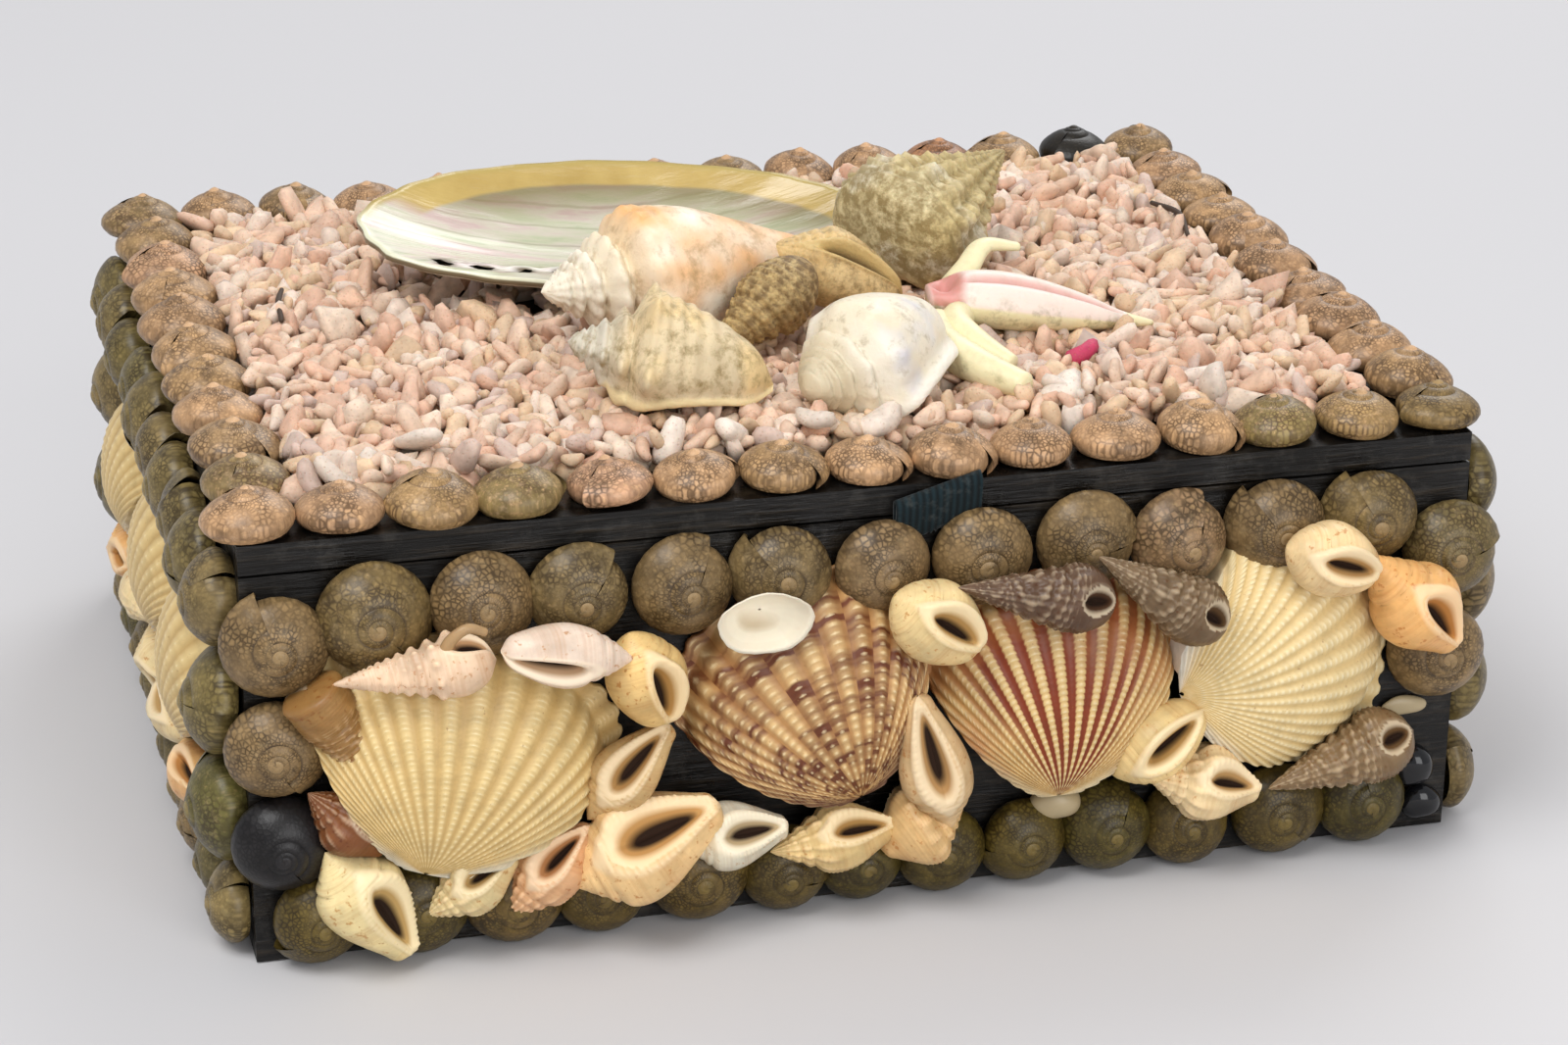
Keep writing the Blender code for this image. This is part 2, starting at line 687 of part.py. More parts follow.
def build():
    """Every piece by its node name, each cut back from what was in place before it."""
    for leftover in list(bpy.data.objects):
        bpy.data.objects.remove(leftover)
    finishes = {
        "painted_board": material("painted_board", (0.030, 0.029, 0.028), 0.55),
        "button_shell": material("button_shell", (0.30, 0.27, 0.22), 0.35),
        "cream_cockle": material("cream_cockle", (0.80, 0.72, 0.58), 0.50),
        "brown_cockle": material("brown_cockle", (0.42, 0.25, 0.18), 0.50),
        "snail_shell": material("snail_shell", (0.66, 0.54, 0.40), 0.40),
        "nacre": material("nacre", (0.70, 0.72, 0.68), 0.25),
        "big_shell": material("big_shell", (0.74, 0.68, 0.60), 0.45),
        "coral": material("coral", (0.74, 0.66, 0.57), 0.80),
        "cloth": material("cloth", (0.05, 0.13, 0.14), 0.90),
    }
    pieces = {}

    def place(made, finish, cut_by=()):
        """Add pieces to the box, cut back from the named pieces that they meet."""
        for name, mesh in made.items():
            if cut_by:
                mesh = carve(mesh, [pieces[other][0] for other in cut_by if other in pieces])
            pieces[name] = (mesh, finishes[finish])

    place(box_boards(), "painted_board")
    walls = list(pieces)
    place(lid_rows(), "button_shell")
    front_field, rows = front_rows()
    place(rows, "button_shell")
    sides = {
        "left": (LEFT, BOX_DEPTH, SIDE_FIELD, SIDE_COCKLES, ("back", "front")),
        "right": (RIGHT, BOX_DEPTH, SIDE_FIELD, SIDE_COCKLES, ("front", "back")),
        "back": (BACK, BOX_LENGTH, BACK_FIELD, BACK_COCKLES, ("right", "left")),
    }
    pages = {"front": wall_page(FRONT, FRONT_FIELD, front_field)}
    for side, (face, length, drawn, cockles, ends) in sides.items():
        names = [f"{side}_top_buttons", f"{side}_bottom_buttons",
                 f"{side}_{ends[0]}_end_buttons", f"{side}_{ends[1]}_end_buttons"]
        field, rows = side_rows(face, length, names, side == "back")
        place(rows, "button_shell")
        pages[side] = wall_page(face, drawn, field)
    buttons = [name for name in pieces if name not in walls]

    def place_on_wall(side, name, mesh, finish):
        """Add a piece to a wall, cut back from all that is on that wall already."""
        place({name: mesh}, finish, [other for other in pieces
                                     if other.startswith(side) and other not in walls])

    for name, row in FRONT_COCKLES.items():
        finish = "brown_cockle" if name in BROWN_COCKLES else "cream_cockle"
        place_on_wall("front", name, cockle(pages["front"], *row), finish)
    for name, rows in FRONT_SNAILS.items():
        place_on_wall("front", name, wall_snails(pages["front"], rows), "snail_shell")
    for side, (face, length, drawn, cockles, ends) in sides.items():
        for number, row in enumerate(cockles, 1):
            place_on_wall(side, f"{side}_cockle_{number}", cockle(pages[side], *row), "cream_cockle")
        place_on_wall(side, f"{side}_snails", snail_chain(pages[side], drawn), "snail_shell")

    lid_buttons = [name for name in buttons if name.startswith("lid_")]
    place({"cloth_tab": pull_tab()}, "cloth", lid_buttons + ["front_top_buttons"])
    laid = []
    for name, mesh in big_shells().items():
        place({name: mesh}, "nacre" if name == "abalone" else "big_shell", lid_buttons + laid)
        laid.append(name)
    place({"coral_bed": coral_bed()}, "coral", laid)

    collection = bpy.data.collections.new("shell_box")
    bpy.context.scene.collection.children.link(collection)
    for name, (mesh, finish) in pieces.items():
        mesh.materials.clear()
        mesh.materials.append(finish)
        piece = bpy.data.objects.new(name, mesh)
        collection.objects.link(piece)


build()
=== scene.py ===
"""The look of the shell box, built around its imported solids: a black board box, covered in
button shells, cockles and small snail shells, with coral and large shells on its lid."""

import math
import random

import bmesh
import bpy
import numpy as np
from mathutils import Matrix, Vector


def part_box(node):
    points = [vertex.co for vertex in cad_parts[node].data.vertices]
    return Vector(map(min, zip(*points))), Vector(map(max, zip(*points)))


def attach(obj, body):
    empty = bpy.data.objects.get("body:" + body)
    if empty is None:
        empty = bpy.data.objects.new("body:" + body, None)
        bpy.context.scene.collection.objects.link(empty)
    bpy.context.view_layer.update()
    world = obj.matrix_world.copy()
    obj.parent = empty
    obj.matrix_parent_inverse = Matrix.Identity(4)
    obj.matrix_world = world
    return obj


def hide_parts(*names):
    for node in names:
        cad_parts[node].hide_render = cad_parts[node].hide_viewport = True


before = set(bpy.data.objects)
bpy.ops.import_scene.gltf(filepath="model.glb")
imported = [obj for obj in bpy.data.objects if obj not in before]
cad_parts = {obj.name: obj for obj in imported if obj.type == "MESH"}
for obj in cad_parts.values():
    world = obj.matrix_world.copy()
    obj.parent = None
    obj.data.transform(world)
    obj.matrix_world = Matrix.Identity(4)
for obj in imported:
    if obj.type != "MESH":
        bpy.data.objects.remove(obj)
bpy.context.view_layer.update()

# The camera stands to the left of the front and looks down on the lid, as the photograph
# was taken, with a long lens.
LENS = 91.14
EYE = Vector((-0.12146, -0.47034, 0.22870))
AZIMUTH = math.radians(14.97)
DIP = math.radians(22.777)
ROLL = math.radians(0.4835)

ahead = Vector((math.sin(AZIMUTH) * math.cos(DIP), math.cos(AZIMUTH) * math.cos(DIP), -math.sin(DIP)))
level = Vector((math.cos(AZIMUTH), -math.sin(AZIMUTH), 0))
above = level.cross(ahead)
rightward = level * math.cos(ROLL) + above * math.sin(ROLL)
upward = above * math.cos(ROLL) - level * math.sin(ROLL)
camera = bpy.data.objects.new("camera", bpy.data.cameras.new("camera"))
camera.data.lens = LENS
camera.data.sensor_width = 36
camera.data.clip_start = 0.01
camera.matrix_world = Matrix.Translation(EYE) @ Matrix((rightward, upward, -ahead)).transposed().to_4x4()
bpy.context.scene.collection.objects.link(camera)
bpy.context.scene.camera = camera
bpy.context.scene.view_settings.view_transform = "Standard"


# The floor is a plain pale sheet. Three soft panels light the box, the strongest overhead on
# the left and the others behind and in front, with a pale sky all round.
def finish(name, **sockets):
    """A new material with its shader set, ready for its colour and relief."""
    made = bpy.data.materials.new(name)
    made.use_nodes = True
    shader = made.node_tree.nodes["Principled BSDF"]
    for place, value in sockets.items():
        shader.inputs[place.replace("_", " ")].default_value = value
    return made, made.node_tree, shader


floor_mesh = bpy.data.meshes.new("floor")
floor_mesh.from_pydata([(-3, -3, 0), (3, -3, 0), (3, 3, 0), (-3, 3, 0)], [], [(0, 1, 2, 3)])
floor = bpy.data.objects.new("floor", floor_mesh)
floor.location.z = -0.0002
bpy.context.scene.collection.objects.link(floor)
paper = finish("paper", Base_Color=(0.565, 0.555, 0.560, 1), Roughness=0.9)[0]
floor_mesh.materials.append(paper)

sky = bpy.data.worlds.new("sky")
sky.use_nodes = True
sky.node_tree.nodes["Background"].inputs["Color"].default_value = (0.93, 0.95, 1.0, 1)
sky.node_tree.nodes["Background"].inputs["Strength"].default_value = 0.55
bpy.context.scene.world = sky


def lamp(name, place, aim, size, power):
    """A square soft light."""
    light = bpy.data.lights.new(name, "AREA")
    light.size = size
    light.energy = power
    made = bpy.data.objects.new(name, light)
    made.location = place
    made.rotation_euler = (Vector(aim) - Vector(place)).to_track_quat("-Z", "Y").to_euler()
    bpy.context.scene.collection.objects.link(made)


lamp("key_light", (-0.45, -0.35, 0.95), (0, 0, 0.03), 0.55, 7.4)
lamp("back_light", (0.55, 0.75, 0.85), (0, 0, 0.03), 0.7, 6)
lamp("front_light", (0.20, -1.1, 0.42), (0, -0.06, 0.01), 0.8, 6.4)


# The box itself is thin board, glued up and painted black inside and out. The paint is worn
# brown along the edges of the lid, and glue has dried on it in glossy films.
def node(tree, kind, inputs=None, **settings):
    """Add a shader node; each input is a number, a colour, or an output of another node."""
    made = tree.nodes.new("ShaderNode" + kind)
    for setting, value in settings.items():
        setattr(made, setting, value)
    for place, value in (inputs or {}).items():
        socket = made.inputs[place]
        if isinstance(value, bpy.types.NodeSocket):
            tree.links.new(value, socket)
        else:
            socket.default_value = value
    return made


def ramp(tree, factor, *stops):
    """A colour for each share of the factor; a stop is (share, colour or grey)."""
    made = node(tree, "ValToRGB", {"Fac": factor})
    line = made.color_ramp.elements
    while len(line) < len(stops):
        line.new(0.5)
    for stop, (share, colour) in zip(line, stops):
        stop.position = share
        stop.color = (*(colour if isinstance(colour, tuple) else (colour,) * 3), 1)
    return made.outputs["Color"]


def blend(tree, factor, first, second, mode="MIX"):
    """Two colours mixed by a factor."""
    made = node(tree, "Mix", {0: factor, 6: first, 7: second}, data_type="RGBA", blend_type=mode)
    return made.outputs[2]


def noise(tree, scale, detail=4, rough=0.5, where=None):
    """A cloudy pattern, about the given number of clouds to the metre."""
    spot = where or node(tree, "TexCoord").outputs["Object"]
    made = node(tree, "TexNoise", {"Vector": spot, "Scale": scale, "Detail": detail, "Roughness": rough})
    return made.outputs["Fac"]


def count(tree, work, *values):
    """Arithmetic on numbers."""
    made = node(tree, "Math", dict(enumerate(values)), operation=work)
    return made.outputs[0]


def relief(tree, shader, height, depth, strength=1.0):
    """Fine relief on a surface, in metres of depth."""
    made = node(tree, "Bump", {"Height": height, "Distance": depth, "Strength": strength})
    tree.links.new(made.outputs["Normal"], shader.inputs["Normal"])


def board_paint():
    """Worn black paint over brown board."""
    made, tree, shader = finish("black_paint", Specular_IOR_Level=0.28)
    spot = node(tree, "TexCoord").outputs["Object"]
    along = node(tree, "Mapping", {"Vector": spot, "Scale": (30, 60, 420)}).outputs[0]
    grain = noise(tree, 3.0, 8, 0.65, along)
    wear = ramp(tree, grain, (0.50, 0.0), (0.74, 1.0))
    dust = ramp(tree, noise(tree, 260, 6, 0.7), (0.52, 0.0), (0.75, 1.0))
    colour = blend(tree, count(tree, "MULTIPLY", wear, 0.45), (0.0040, 0.0032, 0.0026, 1),
                   (0.060, 0.042, 0.024, 1))
    colour = blend(tree, count(tree, "MULTIPLY", dust, 0.22), colour, (0.12, 0.11, 0.095, 1))
    tree.links.new(colour, shader.inputs["Base Color"])
    rough = ramp(tree, noise(tree, 90, 3), (0.40, 0.20), (0.62, 0.60))
    tree.links.new(rough, shader.inputs["Roughness"])
    relief(tree, shader, grain, 0.0003, 0.7)
    return made


black_paint = board_paint()
for name in ("bottom_board", "front_wall", "back_wall", "left_wall", "right_wall", "lid_board"):
    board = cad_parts[name]
    for slot in board.material_slots:
        slot.material = black_paint

BOARD_LENGTH = 150.0
BOARD_DEPTH = 117.0
LID_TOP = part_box("lid_board")[1].z * 1000
WALLS = {
    "front": (Vector((1, 0, 0)), Vector((0, 0, 1)), Vector((0, -BOARD_DEPTH / 2, 0))),
    "back": (Vector((-1, 0, 0)), Vector((0, 0, 1)), Vector((0, BOARD_DEPTH / 2, 0))),
    "left": (Vector((0, -1, 0)), Vector((0, 0, 1)), Vector((-BOARD_LENGTH / 2, 0, 0))),
    "right": (Vector((0, 1, 0)), Vector((0, 0, 1)), Vector((BOARD_LENGTH / 2, 0, 0))),
    "lid": (Vector((1, 0, 0)), Vector((0, 1, 0)), Vector((0, 0, LID_TOP))),
}


def face_axes(side):
    """Axes of a face in millimetres: across it, up it and out from it."""
    across, up, corner = WALLS[side]
    axes = Matrix((across, up, across.cross(up))).transposed().to_4x4()
    axes.translation = corner
    return axes


# Button shells are small flat top shells with a patterned grey-brown skin. They are glued
# point outwards in rows along every edge of the lid and of the four walls.
def weave(rows, columns, start=0, closed=False):
    """The four-sided faces of a net of points with so many rows and columns."""
    net = start + np.arange(rows * columns).reshape(rows, columns)
    after = np.roll(net, -1, axis=1) if closed else net[:, 1:]
    here = net if closed else net[:, :-1]
    return np.stack([here[:-1], after[:-1], after[1:], here[1:]], axis=-1).reshape(-1, 4)


def piece(name, parts, material, node_names):
    """One mesh from (points in mm, faces, marks, colour) parts, with its place in the frame."""
    points, faces, marks, dyes, total = [], [], [], [], 0
    for spots, skins, mark, *colour in parts:
        points.append(np.asarray(spots, float) / 1000)
        faces.extend([spot + total for spot in face] for face in skins)
        marks.append(np.asarray(mark, float))
        dyes.append(np.broadcast_to([*(colour[0] if colour else (1, 1, 1)), 1], (len(spots), 4)))
        total += len(spots)
    mesh = bpy.data.meshes.new(name)
    mesh.from_pydata(np.concatenate(points).tolist(), [], faces)
    mark = mesh.attributes.new("mark", "FLOAT_VECTOR", "POINT")
    mark.data.foreach_set("vector", np.concatenate(marks)[:, :3].ravel())
    shade = mesh.attributes.new("shade", "FLOAT", "POINT")
    shade.data.foreach_set("value", np.concatenate(marks)[:, 3].ravel())
    dye = mesh.attributes.new("dye", "FLOAT_COLOR", "POINT")
    dye.data.foreach_set("color", np.concatenate(dyes).ravel())
    mesh.shade_smooth()
    mesh.validate()
    mesh.materials.append(material)
    made = bpy.data.objects.new(name, mesh)
    bpy.context.scene.collection.objects.link(made)
    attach(made, "root")
    if node_names:
        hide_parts(*node_names)
    return made


def carried(axes, part):
    """A part moved by a matrix."""
    spots, *rest = part
    turned = np.asarray(axes.to_3x3()) @ np.asarray(spots, float).T
    return turned.T + np.asarray(axes.translation), *rest


GLUE_LINE = 0.35


def button_shell(radius, chance, bow):
    """A low top shell from above: its whorls, a rounded edge and the mouth at its end."""
    turns, growth, flare, suture, opening, steps = 3.5, 1.9, 1.30, 0.50, 0.30, 24
    high, bow = 0.97 * chance.uniform(0.93, 1.07), bow * chance.uniform(0.85, 1.15)
    seed = chance.random()

    def part(angle, inner, outer, shares, edge):
        """One run of whorls; the edge carries on down to the board."""
        reach = inner[:, None] + (outer - inner)[:, None] * shares
        lift = high * (1 - 0.62 * reach ** bow)
        lift += 0.11 * (outer - inner)[:, None] * np.sin(math.pi * shares) ** 0.6
        for wide, tall in edge:
            reach = np.hstack([reach, outer[:, None] * wide])
            lift = np.hstack([lift, lift[:, len(shares) - 1:len(shares)] * tall])
        turn = -2 * math.pi * angle[:, None]
        spots = radius * np.stack([reach * np.cos(turn), reach * np.sin(turn), lift], -1)
        mark = np.empty((*reach.shape, 4))
        mark[..., 0] = angle[:, None]
        mark[..., 1] = np.concatenate([shares, [1.0] * len(edge)])
        mark[..., 2] = seed
        mark[..., 3] = reach
        return spots, mark

    early = np.linspace(0, turns - 1, int((turns - 1) * steps) + 1)
    late = np.linspace(turns - 1, turns, steps + 1)
    line = suture * growth ** (early - turns)
    top, top_mark = part(early, line * (early > 1), suture * growth ** (early + 1 - turns),
                         np.array([0, 0.2, 0.5, 0.8, 1.0]), ())
    whorl, whorl_mark = part(late, suture * growth ** (late - turns),
                             flare ** ((late - turns) * opening * 2),
                             np.array([0, 0.10, 0.28, 0.5, 0.72, 0.9, 1.0]),
                             ((1.045, 0.78), (1.05, 0.52), (1.0, 0.26), (0.90, 0.0)))
    rows, columns = whorl.shape[:2]
    spots = np.vstack([top.reshape(-1, 3), whorl.reshape(-1, 3)])
    mark = np.vstack([top_mark.reshape(-1, 4), whorl_mark.reshape(-1, 4)])
    hub = len(spots)
    mouth = whorl[-1].mean(0) * 0.35 + whorl[-4].mean(0) * 0.65
    faces = weave(*top.shape[:2]).tolist()
    faces += weave(rows, columns, start=top.shape[0] * top.shape[1]).tolist()
    last = hub - columns
    faces += [[last + n + 1, last + n, hub] for n in range(columns - 1)]
    return np.vstack([spots, mouth]), faces, np.vstack([mark, [turns, 3.0, seed, 1.0]])


def marks(tree):
    """What a shell's mesh carries at its points: three marks, a shade and its own colour."""
    mark = node(tree, "Attribute", attribute_name="mark").outputs["Vector"]
    shade = node(tree, "Attribute", attribute_name="shade").outputs["Fac"]
    dye = node(tree, "Attribute", attribute_name="dye").outputs["Color"]
    return *node(tree, "SeparateXYZ", {0: mark}).outputs, shade, dye


def button_skin():
    """Tan to olive brown, speckled and netted with fine dark lines that run with the whorls."""
    made, tree, shader = finish("button_skin", Roughness=0.36, Specular_IOR_Level=0.32)
    turn, across, seed, reach, dye = marks(tree)
    flow = node(tree, "CombineXYZ", {0: count(tree, "MULTIPLY", turn, 44.0),
                                     1: count(tree, "MULTIPLY", reach, 13.0),
                                     2: count(tree, "MULTIPLY", seed, 90.0)}).outputs[0]
    cells = node(tree, "TexVoronoi", {"Vector": flow, "Scale": 1.0, "Randomness": 0.85},
                 feature="DISTANCE_TO_EDGE").outputs["Distance"]
    net = ramp(tree, cells, (0.05, 1.0), (0.26, 0.0))
    patches = ramp(tree, noise(tree, 0.13, 3, 0.6, flow), (0.40, 0.0), (0.58, 1.0))
    base = ramp(tree, seed, (0.0, (0.170, 0.125, 0.050)), (0.30, (0.260, 0.180, 0.090)),
                (0.55, (0.215, 0.145, 0.075)), (0.80, (0.120, 0.102, 0.036)), (1.0, (0.300, 0.195, 0.115)))
    cloud = ramp(tree, noise(tree, 380, 5, 0.6), (0.30, 0.60), (0.72, 1.50))
    colour = blend(tree, 1.0, base, cloud, "MULTIPLY")
    speck = ramp(tree, noise(tree, 0.9, 4, 0.7, flow), (0.54, 0.0), (0.70, 0.6))
    colour = blend(tree, speck, colour, (0.44, 0.31, 0.15, 1))
    netted = count(tree, "MULTIPLY", net, count(tree, "MULTIPLY_ADD", patches, 0.60, 0.22))
    colour = blend(tree, netted, colour, (0.040, 0.024, 0.010, 1))
    # Painted shade: a dark line along each suture stands for the shadow in the groove between whorls.
    seam = ramp(tree, across, (0.0, 0.75), (0.10, 0.0))
    colour = blend(tree, seam, colour, (0.050, 0.032, 0.018, 1))
    tip = ramp(tree, turn, (0.6, 0.55), (2.45, 0.30), (2.52, 0.0))
    colour = blend(tree, tip, colour, (0.46, 0.33, 0.18, 1))
    # Painted shade: round the mouth point underneath, the skin is near black for the shade inside the
    # mouth.
    inside = count(tree, "GREATER_THAN", across, 1.6)
    colour = blend(tree, inside, colour, (0.050, 0.036, 0.022, 1))
    dust = ramp(tree, noise(tree, 900, 5, 0.7), (0.52, 0.0), (0.80, 0.40))
    colour = blend(tree, dust, colour, (0.46, 0.36, 0.22, 1))
    colour = blend(tree, 1.0, colour, dye, "MULTIPLY")
    tree.links.new(colour, shader.inputs["Base Color"])
    relief(tree, shader, cells, 0.00008, 0.5)
    return made


# Each shell is (across, up, size) in mm on its face, with its own colour where it is odd.
FRONT_ROWS = {
    "front_top_buttons": [
        (-60.3, 44.2, 12.6), (-47.9, 44.6, 11.8), (-36.2, 44.8, 11.4), (-23.9, 44.4, 11.5),
        (-12.0, 44.9, 11.4), (-0.2, 44.4, 11.0), (12.2, 44.8, 11.8), (25.3, 45.2, 11.6),
        (36.8, 44.2, 11.5), (49.3, 45.0, 11.7), (61.4, 45.0, 11.6)],
    "front_bottom_buttons": [
        (-68.0, 5.6, 10.8), (-55.8, 5.4, 11.6), (-44.4, 5.2, 11.4), (-33.8, 5.3, 10.8),
        (-22.0, 5.3, 11.4), (-11.4, 5.3, 10.6), (-1.8, 5.2, 9.6), (8.3, 5.4, 10.4),
        (18.6, 6.4, 10.2), (29.4, 6.8, 11.0), (39.8, 5.6, 10.4), (51.6, 5.8, 11.4),
        (63.0, 5.6, 11.0)],
    "front_left_end_buttons": [
        (-71.2, 42.0, 11.8), (-71.9, 29.0, 11.4), (-71.6, 17.0, 11.4, (0.045, 0.055, 0.11))],
    "front_right_end_buttons": [(72.4, 39.2, 11.4), (71.6, 26.0, 11.6)],
}
ODD_SHELLS = {("lid_back_buttons", 13): (0.07, 0.07, 0.08), ("lid_back_buttons", 11): (1.5, 1.05, 0.95),
              ("lid_front_buttons", 14): (1.0, 0.9, 0.7), ("lid_left_buttons", 9): (3.0, 2.7, 2.3)}
LARGE_BUTTON, SMALL_BUTTON, LID_BUTTON = 12.2, 10.9, 10.4

# Each even row is (size of its shells, whether it runs up the face).
EVEN_ROWS = {"lid": {"lid_front_buttons": (LID_BUTTON, False), "lid_back_buttons": (LID_BUTTON, False),
                     "lid_left_buttons": (LID_BUTTON, True), "lid_right_buttons": (LID_BUTTON, True)}}
for side, ends in (("left", ("back", "front")), ("right", ("front", "back")), ("back", ("right", "left"))):
    EVEN_ROWS[side] = {f"{side}_top_buttons": (LARGE_BUTTON, False),
                       f"{side}_bottom_buttons": (SMALL_BUTTON, False),
                       **{f"{side}_{end}_end_buttons": (LARGE_BUTTON, True) for end in ends}}


def even_row(side, node_name, size, upright, chance):
    """Centres and sizes of the shells in a row that fills its node from end to end."""
    inward = face_axes(side).inverted()
    low, high = [inward @ (corner * 1000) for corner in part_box(node_name)]
    start, end = [sorted((low[n], high[n])) for n in (0, 1)]
    run, wide = (end, start) if upright else (start, end)
    number = max(1, round((run[1] - run[0]) / size))
    step = (run[1] - run[0]) / number
    spots = []
    for place in range(number):
        along = run[0] + step * (place + 0.5) + chance.uniform(-0.25, 0.25)
        beside = sum(wide) / 2 + chance.uniform(-0.4, 0.4)
        size_here = step * chance.uniform(0.95, 1.05)
        spots.append((beside, along, size_here) if upright else (along, beside, size_here))
    return spots


def button_row(side, spots, chance, dye=(1, 1, 1), bow=1.75):
    """The shells of one row, each turned and tipped a little its own way."""
    lean, touching, over_floor = 0.09, 1.04, 0.1
    shells = []
    for across, up, size, *own in spots:
        tip = Matrix.Rotation(chance.uniform(-lean, lean), 4, "X") @ Matrix.Rotation(
            chance.uniform(-lean, lean), 4, "Y") @ Matrix.Rotation(chance.uniform(0, 6.28), 4, "Z")
        place = face_axes(side) @ Matrix.Translation((across, up, GLUE_LINE)) @ tip
        shell = carried(place, button_shell(size / 2 * touching, chance, bow))
        shell[0][:, 2] += max(0.0, over_floor - shell[0][:, 2].min())
        shells.append((*shell, own[0] if own else dye))
    return shells


SHADED_DEEP_OLIVE, WARM_GREY = (0.46, 0.44, 0.20), (0.86, 0.80, 0.68)
LID_TAN, DULL_OLIVE = (1.75, 1.50, 1.50), (0.82, 0.84, 0.64)
skin = button_skin()
chance = random.Random(3)
for name, spots in FRONT_ROWS.items():
    # The bottom front row is tinted olive: partly its own colour, partly painted shade for the darker foot
    # of the wall.
    dye = SHADED_DEEP_OLIVE if "bottom" in name else WARM_GREY
    spots = [(across, up - 0.6, size * 1.05, *own) for across, up, size, *own in spots]
    piece(name + "_shells", button_row("front", spots, chance, dye), skin, [name])
for side, rows in EVEN_ROWS.items():
    for name, (size, upright) in rows.items():
        spots = even_row(side, name, size, upright, chance)
        spots = [(*spot, ODD_SHELLS[name, place]) if (name, place) in ODD_SHELLS else spot
                 for place, spot in enumerate(spots)]
        dye, bow = (LID_TAN, 1.1) if side == "lid" else (DULL_OLIVE, 1.6)
        piece(name + "_shells", button_row(side, spots, chance, dye, bow), skin, [name])


# The cockles are single valves, glued down by their rims. Fine beaded ribs fan out from the
# beak, and each valve is cream, or blotched and striped in brown.
def cockle(umbo, heading, reach, width, ribs, beads, skew=0.0, hinge=0.40, steps=6, rows=112):
    """A ribbed valve in face millimetres, with a bead wherever a rib crosses a ring. A skew
    sets the ribs closer on one side."""
    crown, bulge, widest, rim = 0.40, 0.30, 0.76, 0.1
    rib = np.linspace(0, ribs, ribs * steps + 1)
    even = np.linspace(0, 1, 400)
    turn = np.interp(rib / ribs, even + skew * even * (1 - even), even)
    turn = (turn * 2 - 1)[None, :] * 0.93 * math.pi
    rib = rib[None, :]
    share = np.linspace(0.015, 1, rows)[:, None]
    hump = np.clip((np.abs(np.sin(math.pi * rib)) - 0.42) / 0.52, 0, 1) ** 0.8
    bead = 0.5 - 0.5 * np.cos(2 * math.pi * beads * share ** 1.25)
    opening = 0.5 + 0.5 * np.cos(turn)
    edge = 1 + 0.022 * hump
    along = share * reach * opening * edge
    fan = (hinge + (1 - hinge) * opening) / widest
    aside = share * width * 0.5 * fan * np.sin(turn) * edge
    half = np.where(along > crown * reach, 1 - crown, 1.15 * crown)
    drop = ((along / reach - crown) / half) ** 2 + (2 * aside / width) ** 2
    swell = bulge * (reach + width) / 2
    lift = swell * np.sqrt(np.maximum(0.006, 1 - drop))
    size = reach / ribs * share ** 0.8 * np.gradient(turn[0])[None, :] / np.gradient(turn[0]).mean()
    lift = lift + size * hump * (0.36 + 0.34 * bead) * (drop < 0.995)
    angle = math.radians(heading)
    forward = np.array([math.cos(angle), math.sin(angle)])
    spots = np.stack([umbo[0] + forward[0] * along - forward[1] * aside,
                      umbo[1] + forward[1] * along + forward[0] * aside, lift], -1)
    skirt = spots[-1:].copy()
    skirt[..., 2] = rim
    spots = np.concatenate([spots, skirt])
    mark = np.zeros((*spots.shape[:2], 4))
    mark[..., 0] = rib
    mark[:-1, :, 1] = share
    mark[-1, :, 1] = 1
    mark[..., 2] = 0.5 + turn / (2 * math.pi)
    mark[:-1, :, 3] = hump * (0.6 + 0.4 * bead)
    faces = weave(spots.shape[0], spots.shape[1])
    return spots.reshape(-1, 3), faces[:, ::-1], mark.reshape(-1, 4)


